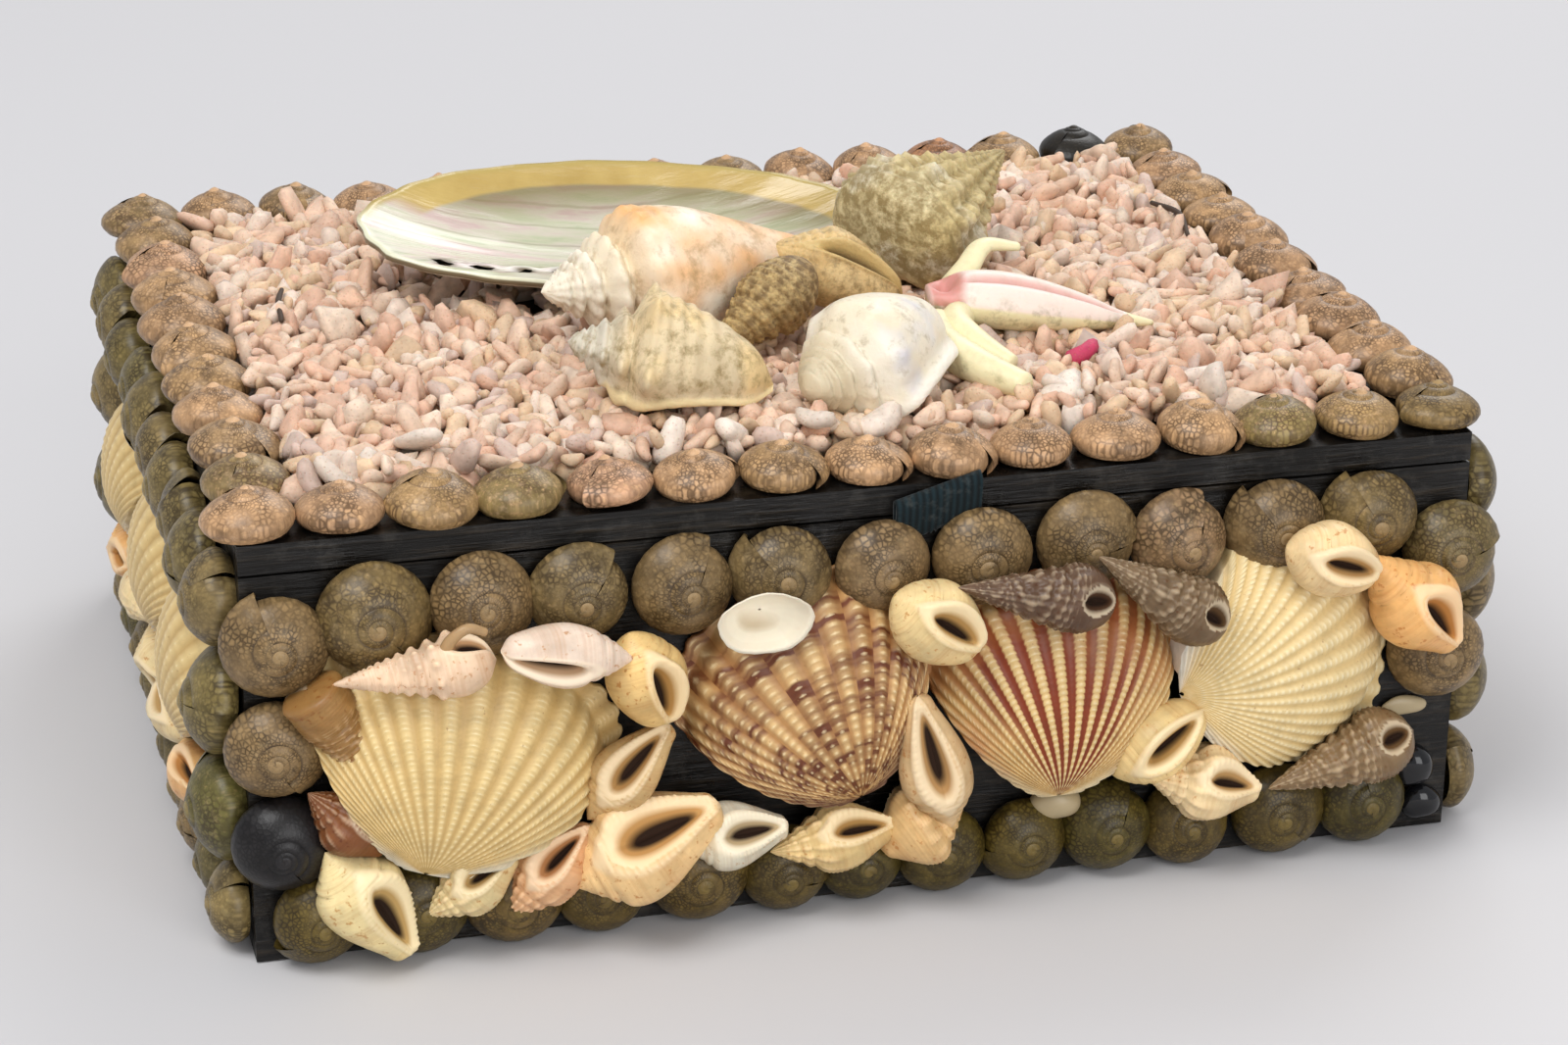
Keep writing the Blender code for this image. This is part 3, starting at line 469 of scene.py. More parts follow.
def cockle_skin(name, base, valley, bead_colour, edge, patch=None, patch_spots=None):
    """Satin shell with paler beads, and brown blotches or stripes where there are any."""
    made, tree, shader = finish(name, Roughness=0.42, Specular_IOR_Level=0.35)
    rib, share, fan, hump, _ = marks(tree)
    tone = blend(tree, hump, (*valley, 1), (*base, 1))
    if patch == "blotch":
        cell = node(tree, "CombineXYZ", {0: count(tree, "MULTIPLY", count(tree, "FLOOR", rib), 0.37),
                                         1: count(tree, "MULTIPLY", share, 6.5), 2: 0.0}).outputs[0]
        blotch = ramp(tree, noise(tree, 1.0, 2, 0.5, cell), (0.43, 0.0), (0.49, 1.0))
        rings = ramp(tree, noise(tree, 3.0, 2, 0.5, cell), (0.45, 0.35), (0.60, 1.0))
        tone = blend(tree, count(tree, "MULTIPLY", blotch, rings), tone, (*patch_spots, 1))
    if patch == "stripe":
        middle = count(tree, "ABSOLUTE", count(tree, "SUBTRACT", fan, 0.5))
        wobble = count(tree, "MULTIPLY_ADD", noise(tree, 90, 3), 0.16, middle)
        zone = ramp(tree, wobble, (0.19, 1.0), (0.27, 0.0))
        gap = count(tree, "SUBTRACT", 1.0, ramp(tree, hump, (0.28, 0.0), (0.60, 1.0)))
        tone = blend(tree, count(tree, "MULTIPLY", zone, gap), tone, (*patch_spots, 1))
        band = ramp(tree, noise(tree, 110, 3), (0.44, 0.0), (0.66, 0.75))
        outer = ramp(tree, share, (0.45, 0.0), (0.80, 1.0))
        tone = blend(tree, count(tree, "MULTIPLY", outer, band), tone, (0.42, 0.17, 0.06, 1))
    pale = ramp(tree, hump, (0.80, 0.0), (1.0, 0.8))
    tone = blend(tree, pale, tone, (*bead_colour, 1))
    flank = count(tree, "ABSOLUTE", count(tree, "SUBTRACT", fan, 0.5))
    flank = count(tree, "MULTIPLY_ADD", noise(tree, 120, 3), 0.10, flank)
    flank = ramp(tree, flank, (0.36, 0.0), (0.47, 0.80))
    tone = blend(tree, flank, tone, (*edge, 1))
    flecks = ramp(tree, noise(tree, 1300, 3, 0.7), (0.66, 0.0), (0.72, 0.65))
    tone = blend(tree, flecks, tone, (0.34, 0.17, 0.06, 1))
    grime = ramp(tree, noise(tree, 300, 6, 0.7), (0.45, 1.0), (0.78, 0.72))
    tone = blend(tree, 1.0, tone, grime, "MULTIPLY")
    tree.links.new(tone, shader.inputs["Base Color"])
    relief(tree, shader, noise(tree, 1500, 3), 0.00006, 0.5)
    return made


cream = cockle_skin("cream_cockle_skin", (0.79, 0.60, 0.28), (0.55, 0.36, 0.13), (0.86, 0.73, 0.45),
                    (0.84, 0.79, 0.66))
white = cockle_skin("white_cockle_skin", (0.82, 0.66, 0.36), (0.66, 0.47, 0.20), (0.88, 0.78, 0.54),
                    (0.86, 0.83, 0.76))
mottled = cockle_skin("mottled_cockle_skin", (0.72, 0.49, 0.22), (0.42, 0.21, 0.070), (0.86, 0.69, 0.40),
                      (0.20, 0.08, 0.045), "blotch", (0.135, 0.036, 0.012))
striped = cockle_skin("striped_cockle_skin", (0.74, 0.54, 0.24), (0.50, 0.27, 0.08), (0.84, 0.70, 0.46),
                      (0.80, 0.68, 0.44), "stripe", (0.21, 0.032, 0.006))

# Each valve is its beak, heading, length, width, ribs, beads, skew, hinge, skin and slot.
FRONT_COCKLES = {
    "front_cream_cockle": ((-55.6, 11.9), 72, 28.2, 38.0, 34, 40, -0.55, 0.40, cream, "cream_cockle"),
    "front_brown_cockle": ((-2.8, 15.4), 113, 28.5, 32.0, 28, 26, -0.15, 0.40, mottled, "brown_cockle"),
    "front_striped_cockle": ((22.0, 12.5), 91, 27.8, 31.8, 32, 34, 0.0, 0.40, striped, "brown_cockle"),
    "front_yellow_cockle": ((37.0, 24.4), 14, 27.6, 31.4, 33, 32, 0.15, 0.60, white, "cream_cockle"),
}
for name, (umbo, heading, reach, width, ribs, beads, skew, hinge, skin_here, slot) in FRONT_COCKLES.items():
    shell = cockle(umbo, heading, reach, width, ribs, beads, skew, hinge)
    shell = (shell[0] + np.array([0, 0, GLUE_LINE]), *shell[1:])
    piece(name + "_valve", [carried(face_axes("front"), shell)], skin_here, [name])

SIDE_COCKLES = [
    ((-30.4, 18.4), 97, 19.3, 28.7), ((0.6, 18.4), 88, 19.6, 28.1), ((31.6, 18.4), 84, 19.3, 28.7)]
BACK_COCKLES = [
    ((-41.3, 18.2), 95, 19.5, 36.0), ((0.0, 18.2), 90, 19.7, 36.8), ((41.3, 18.2), 85, 19.5, 36.0)]
for side, valves in (("left", SIDE_COCKLES), ("right", SIDE_COCKLES), ("back", BACK_COCKLES)):
    for number, (umbo, heading, reach, width) in enumerate(valves, 1):
        shell = cockle(umbo, heading, reach, width, 26, 16, steps=4, rows=36)
        piece(f"{side}_cockle_{number}_valve", [carried(face_axes(side), shell)], cream,
              [f"{side}_cockle_{number}"])


# The small snail shells are whelks, ceriths and dove shells of many colours, glued into the
# gaps between the cockles, most with their mouths to the front.
def smooth_line(points, number):
    """Evenly numbered points on a smooth line through the given ones."""
    points = np.asarray(points, float)
    ends = np.vstack([2 * points[0] - points[1], points, 2 * points[-1] - points[-2]])
    place = np.linspace(0, len(points) - 1.000001, number)
    first = place.astype(int)
    t = (place - first)[:, None]
    a, b, c, d = (ends[first + n] for n in range(4))
    return 0.5 * (2 * b + (c - a) * t + (2 * a - 5 * b + 4 * c - d) * t ** 2
                  + (3 * b - a - 3 * c + d) * t ** 3)


def eased(values, low, high):
    """A smooth step from 0 at the low value to 1 at the high one."""
    share = np.clip((values - low) / (high - low), 0, 1)
    return share * share * (3 - 2 * share)


def snail(form, rows=66, columns=60):
    """A snail shell along Z with its tip at the top: its whorls, and a mouth between two lips."""
    gathered = 0.62
    down = np.linspace(0, 1, rows)[:, None]
    line = np.linspace(0, 1, columns, endpoint=False)[None, :]
    off = line - gathered * np.sin(2 * math.pi * line) / (2 * math.pi)
    turn = np.log(np.maximum(down, 0.004) / form["suture"]) / math.log(form["growth"]) + off
    spire = turn < 0
    share = np.where(spire, turn % 1, turn)
    outline = smooth_line(form["outline"], 200)
    reach = np.interp(down, outline[:, 0], outline[:, 1])
    rounded = np.sin(math.pi * np.where(spire, share, np.minimum(share, 0.5)) ** form.get("step", 1)) ** 0.7
    swell = 1 + form.get("bulge", 0.14) * (rounded - 0.6)
    fade = eased(down, form["suture"] * 0.8, form["suture"] * 1.25) * (1 - eased(down, 0.86, 1.0))
    swell = swell * (1 + form.get("wind", 0.16) * (0.5 - off) * fade)
    hump = np.zeros_like(swell)
    for kind, number, middle, spread, depth in form.get("relief", ()):
        near = np.exp(-((share - middle) / spread) ** 2)
        wave = 0.5 + 0.5 * np.cos(2 * math.pi * number * (share if kind == "cord" else off))
        if kind == "knob":
            near = near * np.minimum(down / form["suture"], 1) ** 0.9
        hump = hump + depth * near * wave ** (2.5 if kind == "knob" else 1)
    swell = swell + hump

    top, foot, wide = form.get("mouth", (form["suture"], 0.95, 24))
    away = np.where(off > 0.5, off - 1, off) * 360
    level = (down - (top + foot) / 2) / ((foot - top) / 2)
    aside = (away - 5 * level) / wide
    ring = (np.abs(level) ** 2.2 + aside ** 2) ** 0.5
    cave = 1 - eased(ring, 0.40, 1.0)
    lip = np.exp(-((ring - 1.16) / 0.20) ** 2) * (0.45 + 0.55 * eased(aside, -0.6, 0.6))
    teeth = form.get("teeth", 0)
    lip = lip * (1 + 0.30 * np.cos(math.pi * teeth * level) * (teeth > 0) * (ring < 1.2))
    smooth = 1 - 0.8 * np.exp(-((ring - 1.0) / 0.42) ** 2)
    swell = 1 + (swell - 1) * smooth
    thick = reach.max()
    carved = reach * swell * (1 - form.get("deep", 0.62) * cave)
    reach = carved + form.get("lip", 0.09) * thick * lip * (reach > 0)
    angle = 2 * math.pi * off
    spots = np.stack([reach * np.cos(angle), reach * np.sin(angle), -down * np.ones_like(angle)], -1)
    mark = np.zeros((rows, columns, 4))
    mark[..., 0] = turn
    mark[..., 1] = share
    pale_lip = 0.5 * np.clip(lip * 1.5 * form.get("pale", 1), 0, 1)
    # The third mark is the lip, and inside the mouth its depth, which the skin darkens as painted shade.
    mark[..., 2] = np.where(ring < 1.0, 0.5 + 0.5 * cave, pale_lip)
    # The last mark is the height of ribs and knobs, which the skin paints paler as a highlight.
    mark[..., 3] = np.clip(hump / max(0.01, hump.max()), 0, 1)
    return spots.reshape(-1, 3), weave(rows, columns, closed=True)[:, ::-1], mark.reshape(-1, 4)


# A form's outline is (share down from the tip, share of the width out from the middle).
WHELK = {"growth": 1.42, "suture": 0.40, "mouth": (0.40, 0.97, 25), "outline": [
    (0, 0), (0.04, 0.06), (0.16, 0.19), (0.30, 0.33), (0.42, 0.45), (0.54, 0.50), (0.66, 0.46),
    (0.78, 0.34), (0.90, 0.21), (0.97, 0.13), (1, 0)]}
LONG_WHELK = dict(WHELK, suture=0.34, mouth=(0.34, 0.98, 24), bulge=0.10, outline=[
    (0, 0), (0.05, 0.08), (0.18, 0.27), (0.34, 0.43), (0.50, 0.50), (0.66, 0.46), (0.82, 0.35),
    (0.94, 0.22), (1, 0)])
OPEN_WHELK = dict(WHELK, suture=0.30, mouth=(0.28, 0.97, 33), teeth=17, lip=0.12, deep=0.5, outline=[
    (0, 0), (0.04, 0.08), (0.14, 0.24), (0.26, 0.42), (0.38, 0.50), (0.54, 0.47), (0.72, 0.35),
    (0.88, 0.22), (0.97, 0.15), (1, 0)])
RIBBED_WHELK = dict(WHELK, lip=0.12, teeth=11, mouth=(0.42, 0.95, 27), relief=[
    ("rib", 13, 0.7, 0.8, 0.12), ("cord", 5, 1.2, 1.4, 0.03)])
DOVE = {"growth": 1.5, "suture": 0.30, "bulge": 0.06, "lip": 0.16, "mouth": (0.24, 0.95, 24), "outline": [
    (0, 0), (0.03, 0.10), (0.12, 0.27), (0.26, 0.42), (0.44, 0.50), (0.62, 0.47), (0.80, 0.36),
    (0.93, 0.22), (1, 0)]}
CERITH = {"growth": 1.20, "suture": 0.66, "bulge": 0.16, "lip": 0.14, "mouth": (0.67, 0.97, 36), "relief": [
    ("knob", 9, 0.5, 0.22, 0.20), ("cord", 3, 0.5, 0.5, 0.04)], "outline": [
    (0, 0), (0.04, 0.05), (0.25, 0.21), (0.50, 0.37), (0.68, 0.47), (0.78, 0.50), (0.88, 0.42),
    (0.95, 0.27), (1, 0)]}
LIPPED_CERITH = dict(CERITH, mouth=(0.70, 0.97, 24), lip=0.10, deep=0.4)
BROKEN_CERITH = dict(CERITH, relief=[("rib", 16, 0.5, 0.5, 0.06), ("cord", 4, 0.5, 1.5, 0.09)], outline=[
    (0, 0.16), (0.25, 0.26), (0.50, 0.36), (0.72, 0.46), (0.90, 0.50), (0.96, 0.48), (0.985, 0.36), (1, 0)])
NETTED_CERITH = dict(CERITH, lip=0.06, pale=0.25, mouth=(0.72, 0.97, 30), relief=[
    ("rib", 18, 0.5, 0.6, 0.07), ("cord", 5, 0.5, 2.0, 0.10)])


def rod(points, radii, flat=1.0, sides=18, steps=9):
    """A rounded rod along a smooth line, blunt at both ends and flattened from above."""
    number = (len(points) - 1) * steps + 1
    line = smooth_line(points, number)
    thick = smooth_line(np.array(radii)[:, None], number)[:, 0]
    ahead = np.gradient(line, axis=0)
    ahead /= np.linalg.norm(ahead, axis=1)[:, None]
    beside = np.cross(ahead, (0, 0, 1.0))
    beside /= np.linalg.norm(beside, axis=1)[:, None]
    over = np.cross(beside, ahead)
    turn = np.linspace(0, 2 * math.pi, sides, endpoint=False)
    line = np.vstack([line[:1], line, line[-1:] + ahead[-1:] * thick[-1] * 0.25,
                      line[-1:] + ahead[-1:] * thick[-1] * 0.32])
    thick = np.concatenate([[0.01], thick, [thick[-1] * 0.72, 0.01]])
    beside, over = (np.vstack([way[:1], way, way[-1:], way[-1:]]) for way in (beside, over))
    ring = (np.cos(turn)[None, :, None] * beside[:, None]
            + flat * np.sin(turn)[None, :, None] * over[:, None])
    spots = line[:, None] + ring * thick[:, None, None]
    mark = np.zeros((*spots.shape[:2], 4))
    mark[..., 0] = np.linspace(0, 1, len(line))[:, None]
    mark[..., 1] = np.sin(turn)
    mark[..., 2] = np.cos(turn)
    mark[..., 3] = 0.5
    faces = weave(*spots.shape[:2], closed=True)
    return spots.reshape(-1, 3), faces, mark.reshape(-1, 4)


def laid(side, shell, tip, foot, width, spin, colour, rest=None):
    """A snail shell laid on a face from tip to foot, each (across, up, out) in mm. Its mouth
    looks out, or is turned away by the spin in degrees."""
    spots, faces, mark = shell
    tip, foot = Vector(tip), Vector(foot)
    out = Vector((0, 0, 1))
    along = (tip - foot).normalized()
    cross = -out.cross(along).normalized()
    toward = -cross.cross(along).normalized()
    girth = (spots[:, 0].max() - spots[:, 0].min() + spots[:, 1].max() - spots[:, 1].min()) / 2
    scale = Matrix.Diagonal((width / girth, width / girth, (tip - foot).length / -spots[:, 2].min(), 1))
    axes = Matrix((cross, toward, along)).transposed().to_4x4()
    axes.translation = tip
    moved = carried(axes @ Matrix.Rotation(math.radians(spin - 90), 4, "Z") @ scale, (spots, faces, mark))
    if rest is not None:
        moved[0][:, 2] += rest - moved[0][:, 2].min()
    return (*carried(face_axes(side), moved), colour)


def snail_skin():
    """Each shell's own colour, clouded and banded along its whorls, paler on its ribs and knobs as painted
    highlight, and darkened into its mouth as painted shade.
    """
    made, tree, shader = finish("snail_skin", Specular_IOR_Level=0.30, Subsurface_Weight=0.05,
                                Subsurface_Scale=0.001)
    turn, across, mouth, hump, dye = marks(tree)
    flow = node(tree, "CombineXYZ", {0: count(tree, "MULTIPLY", turn, 7.0),
                                     1: count(tree, "MULTIPLY", across, 1.2), 2: 0.0}).outputs[0]
    cloud = ramp(tree, noise(tree, 230, 5, 0.6), (0.30, 0.74), (0.70, 1.12))
    tone = blend(tree, 1.0, dye, cloud, "MULTIPLY")
    flame = ramp(tree, noise(tree, 0.5, 5, 0.65, flow), (0.50, 0.0), (0.68, 0.8))
    brown = blend(tree, 1.0, dye, (0.62, 0.38, 0.20, 1), "MULTIPLY")
    tone = blend(tree, count(tree, "MULTIPLY", flame, 0.45), tone, brown)
    specks = ramp(tree, noise(tree, 1100, 2, 0.6), (0.62, 0.0), (0.70, 0.8))
    tone = blend(tree, specks, tone, brown)
    # Painted highlight: the tops of ribs and knobs are paler, as if lit.
    paler = blend(tree, 0.5, blend(tree, 1.0, dye, (1.7, 1.6, 1.5, 1), "MULTIPLY"), (0.60, 0.50, 0.34, 1))
    tone = blend(tree, ramp(tree, hump, (0.45, 0.0), (0.9, 0.7)), tone, paler)
    seam = ramp(tree, count(tree, "ABSOLUTE", across), (0.0, 0.6), (0.09, 0.0))
    tone = blend(tree, seam, tone, blend(tree, 1.0, dye, (0.35, 0.22, 0.12, 1), "MULTIPLY"))
    lip = blend(tree, 0.45, dye, (0.86, 0.72, 0.50, 1))
    tone = blend(tree, ramp(tree, mouth, (0.12, 0.0), (0.40, 1.0)), tone, lip)
    # Painted shade: the mouth darkens inward, to near black at its deepest, for the shade inside it.
    throat = blend(tree, 1.0, dye, (0.60, 0.48, 0.34, 1), "MULTIPLY")
    tone = blend(tree, ramp(tree, mouth, (0.56, 0.0), (0.72, 1.0)), tone, throat)
    tone = blend(tree, ramp(tree, mouth, (0.80, 0.0), (0.985, 1.0)), tone, (0.020, 0.008, 0.003, 1))
    tree.links.new(ramp(tree, mouth, (0.55, 0.36), (0.80, 1.0)), shader.inputs["Roughness"])
    tree.links.new(tone, shader.inputs["Base Color"])
    relief(tree, shader, noise(tree, 900, 4), 0.00008, 0.6)
    return made


def on_wall(across, up, out):
    """The true spot of a point measured on a drawing of the wall 4 mm proud of it."""
    eye_left, eye_away, rise, proud = 121, 408, 0.49, 4
    return across - (across + eye_left) / eye_away * (out - proud), up + rise * (out - proud), out


# Each shell is its form, its tip and foot across and up the drawing, its width, its spin in
# degrees, how far out it sits, and its colour.
FRONT_SNAILS = {
    "front_left_high_snails": [
        (LIPPED_CERITH, -65.4, 36.6, -46.4, 37.6, 7.6, 75, 8.5, (0.76, 0.54, 0.36)),
        (BROKEN_CERITH, -61.6, 25.2, -68.2, 36.4, 7.8, 150, 5.5, (0.34, 0.18, 0.055))],
    "front_left_low_snails": [
        (RIBBED_WHELK, -68.7, 23.4, -60.0, 14.8, 8.2, 45, 4.5, (0.20, 0.070, 0.022)),
        (OPEN_WHELK, -67.0, 15.6, -57.8, 1.0, 10.6, 36, 5.0, (0.83, 0.67, 0.34))],
    "front_gap_snails": [
        (LONG_WHELK, -30.1, 36.0, -45.9, 38.8, 7.4, 18, 9.0, (0.76, 0.60, 0.47)),
        (DOVE, -30.8, 39.4, -27.0, 27.4, 9.6, 26, 6.5, (0.74, 0.50, 0.20)),
        (OPEN_WHELK, -36.0, 16.0, -25.9, 27.2, 8.0, 30, 5.5, (0.62, 0.42, 0.19))],
    "front_middle_snails": [
        (OPEN_WHELK, -38.3, 7.9, -19.8, 15.8, 13.4, 42, 6.5, (0.86, 0.58, 0.27)),
        (RIBBED_WHELK, -55.6, 5.8, -44.4, 12.6, 8.0, 36, 5.5, (0.70, 0.55, 0.28)),
        (RIBBED_WHELK, -46.2, 4.4, -35.4, 15.2, 8.8, 34, 5.5, (0.68, 0.39, 0.20)),
        (OPEN_WHELK, -24.4, 11.2, -11.6, 12.2, 8.4, 30, 5.5, (0.76, 0.70, 0.54)),
        (RIBBED_WHELK, -13.8, 9.0, 2.2, 10.6, 8.6, 44, 5.5, (0.70, 0.50, 0.22)),
        (RIBBED_WHELK, 10.4, 13.0, 0.0, 7.6, 10.4, 215, 5.0, (0.74, 0.48, 0.21)),
        (OPEN_WHELK, 8.8, 9.4, 4.2, 27.6, 8.8, 8, 7.6, (0.66, 0.46, 0.24))],
    "front_upper_snails": [
        (DOVE, 1.0, 40.6, 11.4, 32.6, 10.2, 24, 8.5, (0.80, 0.60, 0.29)),
        (NETTED_CERITH, 8.8, 40.8, 28.6, 36.8, 8.4, 20, 9.5, (0.115, 0.062, 0.034)),
        (NETTED_CERITH, 26.2, 43.0, 42.6, 31.8, 8.4, 30, 9.0, (0.16, 0.10, 0.050))],
    "front_right_low_snails": [
        (DOVE, 29.2, 14.0, 40.4, 21.8, 9.4, 10, 6.0, (0.80, 0.59, 0.27)),
        (RIBBED_WHELK, 33.4, 13.6, 48.4, 9.6, 9.6, 36, 6.0, (0.82, 0.62, 0.34)),
        (NETTED_CERITH, 49.6, 9.8, 68.4, 15.6, 9.2, 32, 6.5, (0.22, 0.14, 0.068))],
    "front_right_high_snails": [
        (DOVE, 50.0, 41.8, 62.0, 37.2, 9.4, 12, 9.5, (0.80, 0.58, 0.30)),
        (WHELK, 60.6, 39.8, 72.8, 26.4, 11.0, 26, 7.5, (0.82, 0.45, 0.16))],
}
shell_skin = snail_skin()
for name, rows in FRONT_SNAILS.items():
    parts = []
    for form, tip_across, tip_up, foot_across, foot_up, width, spin, out, colour in rows:
        tip, foot = on_wall(tip_across, tip_up, out), on_wall(foot_across, foot_up, out)
        parts.append(laid("front", snail(form), tip, foot, width, spin, colour))
    if name == "front_left_high_snails":
        curled_lip = [on_wall(*spot) for spot in (
            (-52.6, 38.6, 9.0), (-51.6, 40.6, 9.8), (-49.6, 41.8, 10.0), (-47.6, 41.2, 9.6))]
        spots, faces, mark = rod(curled_lip, [0.9, 0.7, 0.6, 0.5])
        mark = mark * (1, 1, 0, 1) + (0, 0, 0.2, 0)
        parts.append((*carried(face_axes("front"), (spots, faces, mark)), colour))
    piece(name + "_shells", parts, shell_skin, [name])

CHAIN_COUNT = 5
CHAIN_COLOURS = ((0.62, 0.42, 0.19), (0.82, 0.64, 0.34), (0.78, 0.70, 0.52), (0.80, 0.46, 0.18))
chance = random.Random(11)
for side, half in (("left", 45.0), ("right", 45.0), ("back", 61.5)):
    step = half * 2 / CHAIN_COUNT
    parts = []
    for number in range(CHAIN_COUNT):
        low = -half + number * step
        ends = [(low, 14.8, 3.4), (low + step * 1.05, 15.4, 3.4)]
        if number % 2:
            ends.reverse()
        form = chance.choice((WHELK, RIBBED_WHELK, DOVE, CERITH))
        colour = chance.choice(CHAIN_COLOURS)
        shell = snail(form, 40, 36)
        parts.append(laid(side, shell, *ends, 7.0, chance.uniform(-30, 50), colour, GLUE_LINE))
    piece(f"{side}_snails_shells", parts, shell_skin, [f"{side}_snails"])


# One small clam valve, thin, white and chipped at its edge, is glued hollow side out above
# the brown cockle.
def rim_faces(rings, sides):
    """The faces that join the inside and the outside of a bowl round its rim."""
    first = np.arange(sides)
    after = np.roll(first, -1)
    return np.stack([first, after, rings * sides + after, rings * sides + first], -1)[:, ::-1]


def clam_valve():
    """A shallow oval bowl with a chipped edge."""
    long, wide, deep, thick = 11.4, 8.0, 3.4, 0.35
    rings, sides = 12, 56
    turn = np.linspace(0, 2 * math.pi, sides, endpoint=False)
    chip = (1 + 0.02 * np.sin(5 * turn) + 0.025 * np.exp(-((turn - 5.2) / 0.2) ** 2)
            + 0.008 * np.sin(17 * turn))
    share = np.linspace(1.0, 0.03, rings)[:, None]
    layers = []
    for sunk in (0, thick):
        spots = np.stack([long / 2 * share * np.cos(turn) * chip, wide / 2 * share * np.sin(turn) * chip,
                          -deep * (1 - share ** 2) - sunk * np.ones_like(turn)], -1)
        layers.append(spots.reshape(-1, 3))
    inner = weave(rings, sides, closed=True)
    faces = np.vstack([inner, inner[:, ::-1] + rings * sides, rim_faces(rings, sides)]).tolist()
    mark = np.zeros((2 * rings * sides, 4))
    # Painted shadow: the inside of the bowl darkens towards its middle and its lower side, through the
    # skin's throat colour.
    shade = 0.34 + 0.42 * eased(1 - share, 0.1, 0.6) * (0.55 - 0.65 * np.sin(turn + 0.4) * share)
    mark[:, 2] = np.tile(shade.ravel(), 2)
    return np.vstack(layers), faces, mark


valve = Matrix.Translation(on_wall(-14.4, 38.6, 9.2)) @ Matrix.Rotation(math.radians(8), 4, "X")
piece("small_clam_valve", [(*carried(face_axes("front") @ valve, clam_valve()), (0.84, 0.80, 0.68))],
      shell_skin, ["front_small_clam"])


# Glue has dried in lumps: clear brown ones under the striped cockle and at the right, and
# black ones low at the right-hand corner, where a shell is missing.
def glue(name, colour, rough):
    """Dried glue, with an uneven skin."""
    made, tree, shader = finish(name, Base_Color=(*colour, 1), Roughness=rough)
    relief(tree, shader, noise(tree, 400, 3, 0.5), 0.0001, 0.6)
    return made


def ball(level):
    """The points and faces of a ball of radius 1."""
    body = bmesh.new()
    bmesh.ops.create_icosphere(body, subdivisions=level, radius=1.0)
    spots = np.array([vert.co for vert in body.verts])
    faces = [[vert.index for vert in face.verts] for face in body.faces]
    body.free()
    return spots, faces


def lump(centre, size):
    """A rounded lump with dents in it."""
    spots, faces = ball(4)
    dents = 1 + 0.08 * np.sin(3 * spots[:, :1] + 2 * spots[:, 1:2]) + 0.02 * np.sin(5 * spots[:, 1:2])
    return spots * dents * np.array(size) / 2 + centre, faces, np.full((len(spots), 4), 0.5)


piece("clear_glue_lumps", [carried(face_axes("front"), lump((22.4, 10.6, 2.4), (6.4, 4.6, 4.8))),
                           carried(face_axes("front"), lump((68.4, 17.4, 0.6), (6.0, 2.6, 1.4)))],
      glue("clear_glue", (0.42, 0.33, 0.19), 0.4), [])
piece("black_glue_lumps", [carried(face_axes("front"), lump((69.6, 9.6, 1.8), (5.2, 5.6, 4.4))),
                           carried(face_axes("front"), lump((71.2, 4.2, 1.4), (5.2, 4.6, 3.4)))],
      glue("black_glue", (0.006, 0.006, 0.007), 0.12), [])


# Eight large shells are heaped in the middle of the lid. The ear shell lies open side up,
# with its mother-of-pearl showing, and the conches and top shell lean against it.
BED_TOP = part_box("coral_bed")[0].z * 1000 - LID_TOP + 2.4


def lid_laid(form, tip, foot, width, spin):
    """A large snail shell on the lid, with heights in mm above the coral."""
    lift = Vector((0, 0, BED_TOP))
    shell = snail(form, 104, 90)
    return laid("lid", shell, Vector(tip) + lift, Vector(foot) + lift, width, spin, (1, 1, 1))


CONCH = {"growth": 1.46, "suture": 0.33, "bulge": 0.40, "step": 1.2, "wind": 0.22, "lip": 0.05,
         "mouth": (0.32, 0.98, 20), "relief": [("rib", 13, 0.6, 0.40, 0.11), ("cord", 3, 1.0, 0.7, 0.02)],
         "outline": [(0, 0), (0.03, 0.07), (0.10, 0.17), (0.18, 0.27), (0.26, 0.38), (0.33, 0.47),
                     (0.41, 0.50), (0.54, 0.46), (0.70, 0.34), (0.85, 0.22), (0.96, 0.12), (1, 0)]}
KNOBBED = dict(CONCH, growth=1.52, bulge=0.24, lip=0.16, mouth=(0.30, 0.98, 34), deep=0.4, relief=[
    ("knob", 6, 0.62, 0.30, 0.34), ("cord", 3, 1.6, 1.2, 0.05)], outline=[
    (0, 0), (0.04, 0.09), (0.14, 0.20), (0.24, 0.31), (0.33, 0.44), (0.42, 0.50), (0.56, 0.46),
    (0.74, 0.36), (0.90, 0.22), (1, 0)])
PALE = dict(KNOBBED, suture=0.30, lip=0.34, mouth=(0.30, 0.98, 40), relief=[
    ("knob", 9, 0.8, 0.4, 0.09)], outline=[
    (0, 0), (0.02, 0.10), (0.08, 0.20), (0.18, 0.31), (0.30, 0.43), (0.42, 0.50), (0.60, 0.46),
    (0.80, 0.34), (0.93, 0.22), (1, 0)])
STROMBUS = {"growth": 1.34, "suture": 0.30, "bulge": 0.10, "lip": 0.14, "mouth": (0.24, 0.99, 13),
            "relief": [("rib", 14, 0.6, 0.5, 0.04), ("cord", 4, 1.4, 1.2, 0.015)],
            "outline": [(0, 0), (0.04, 0.09), (0.15, 0.25), (0.28, 0.42), (0.42, 0.50), (0.60, 0.45),
                        (0.78, 0.34), (0.92, 0.20), (1, 0)]}
TOP_SHELL = {"growth": 1.28, "suture": 0.66, "bulge": 0.07, "wind": 0.05, "lip": 0.02,
             "mouth": (0.80, 0.99, 26),
             "relief": [("rib", 14, 0.75, 0.6, 0.22), ("cord", 3, 0.5, 1.6, 0.07)],
             "outline": [(0, 0), (0.03, 0.03), (0.25, 0.16), (0.50, 0.32), (0.72, 0.45), (0.84, 0.50),
                         (0.91, 0.48), (0.96, 0.36), (1, 0)]}
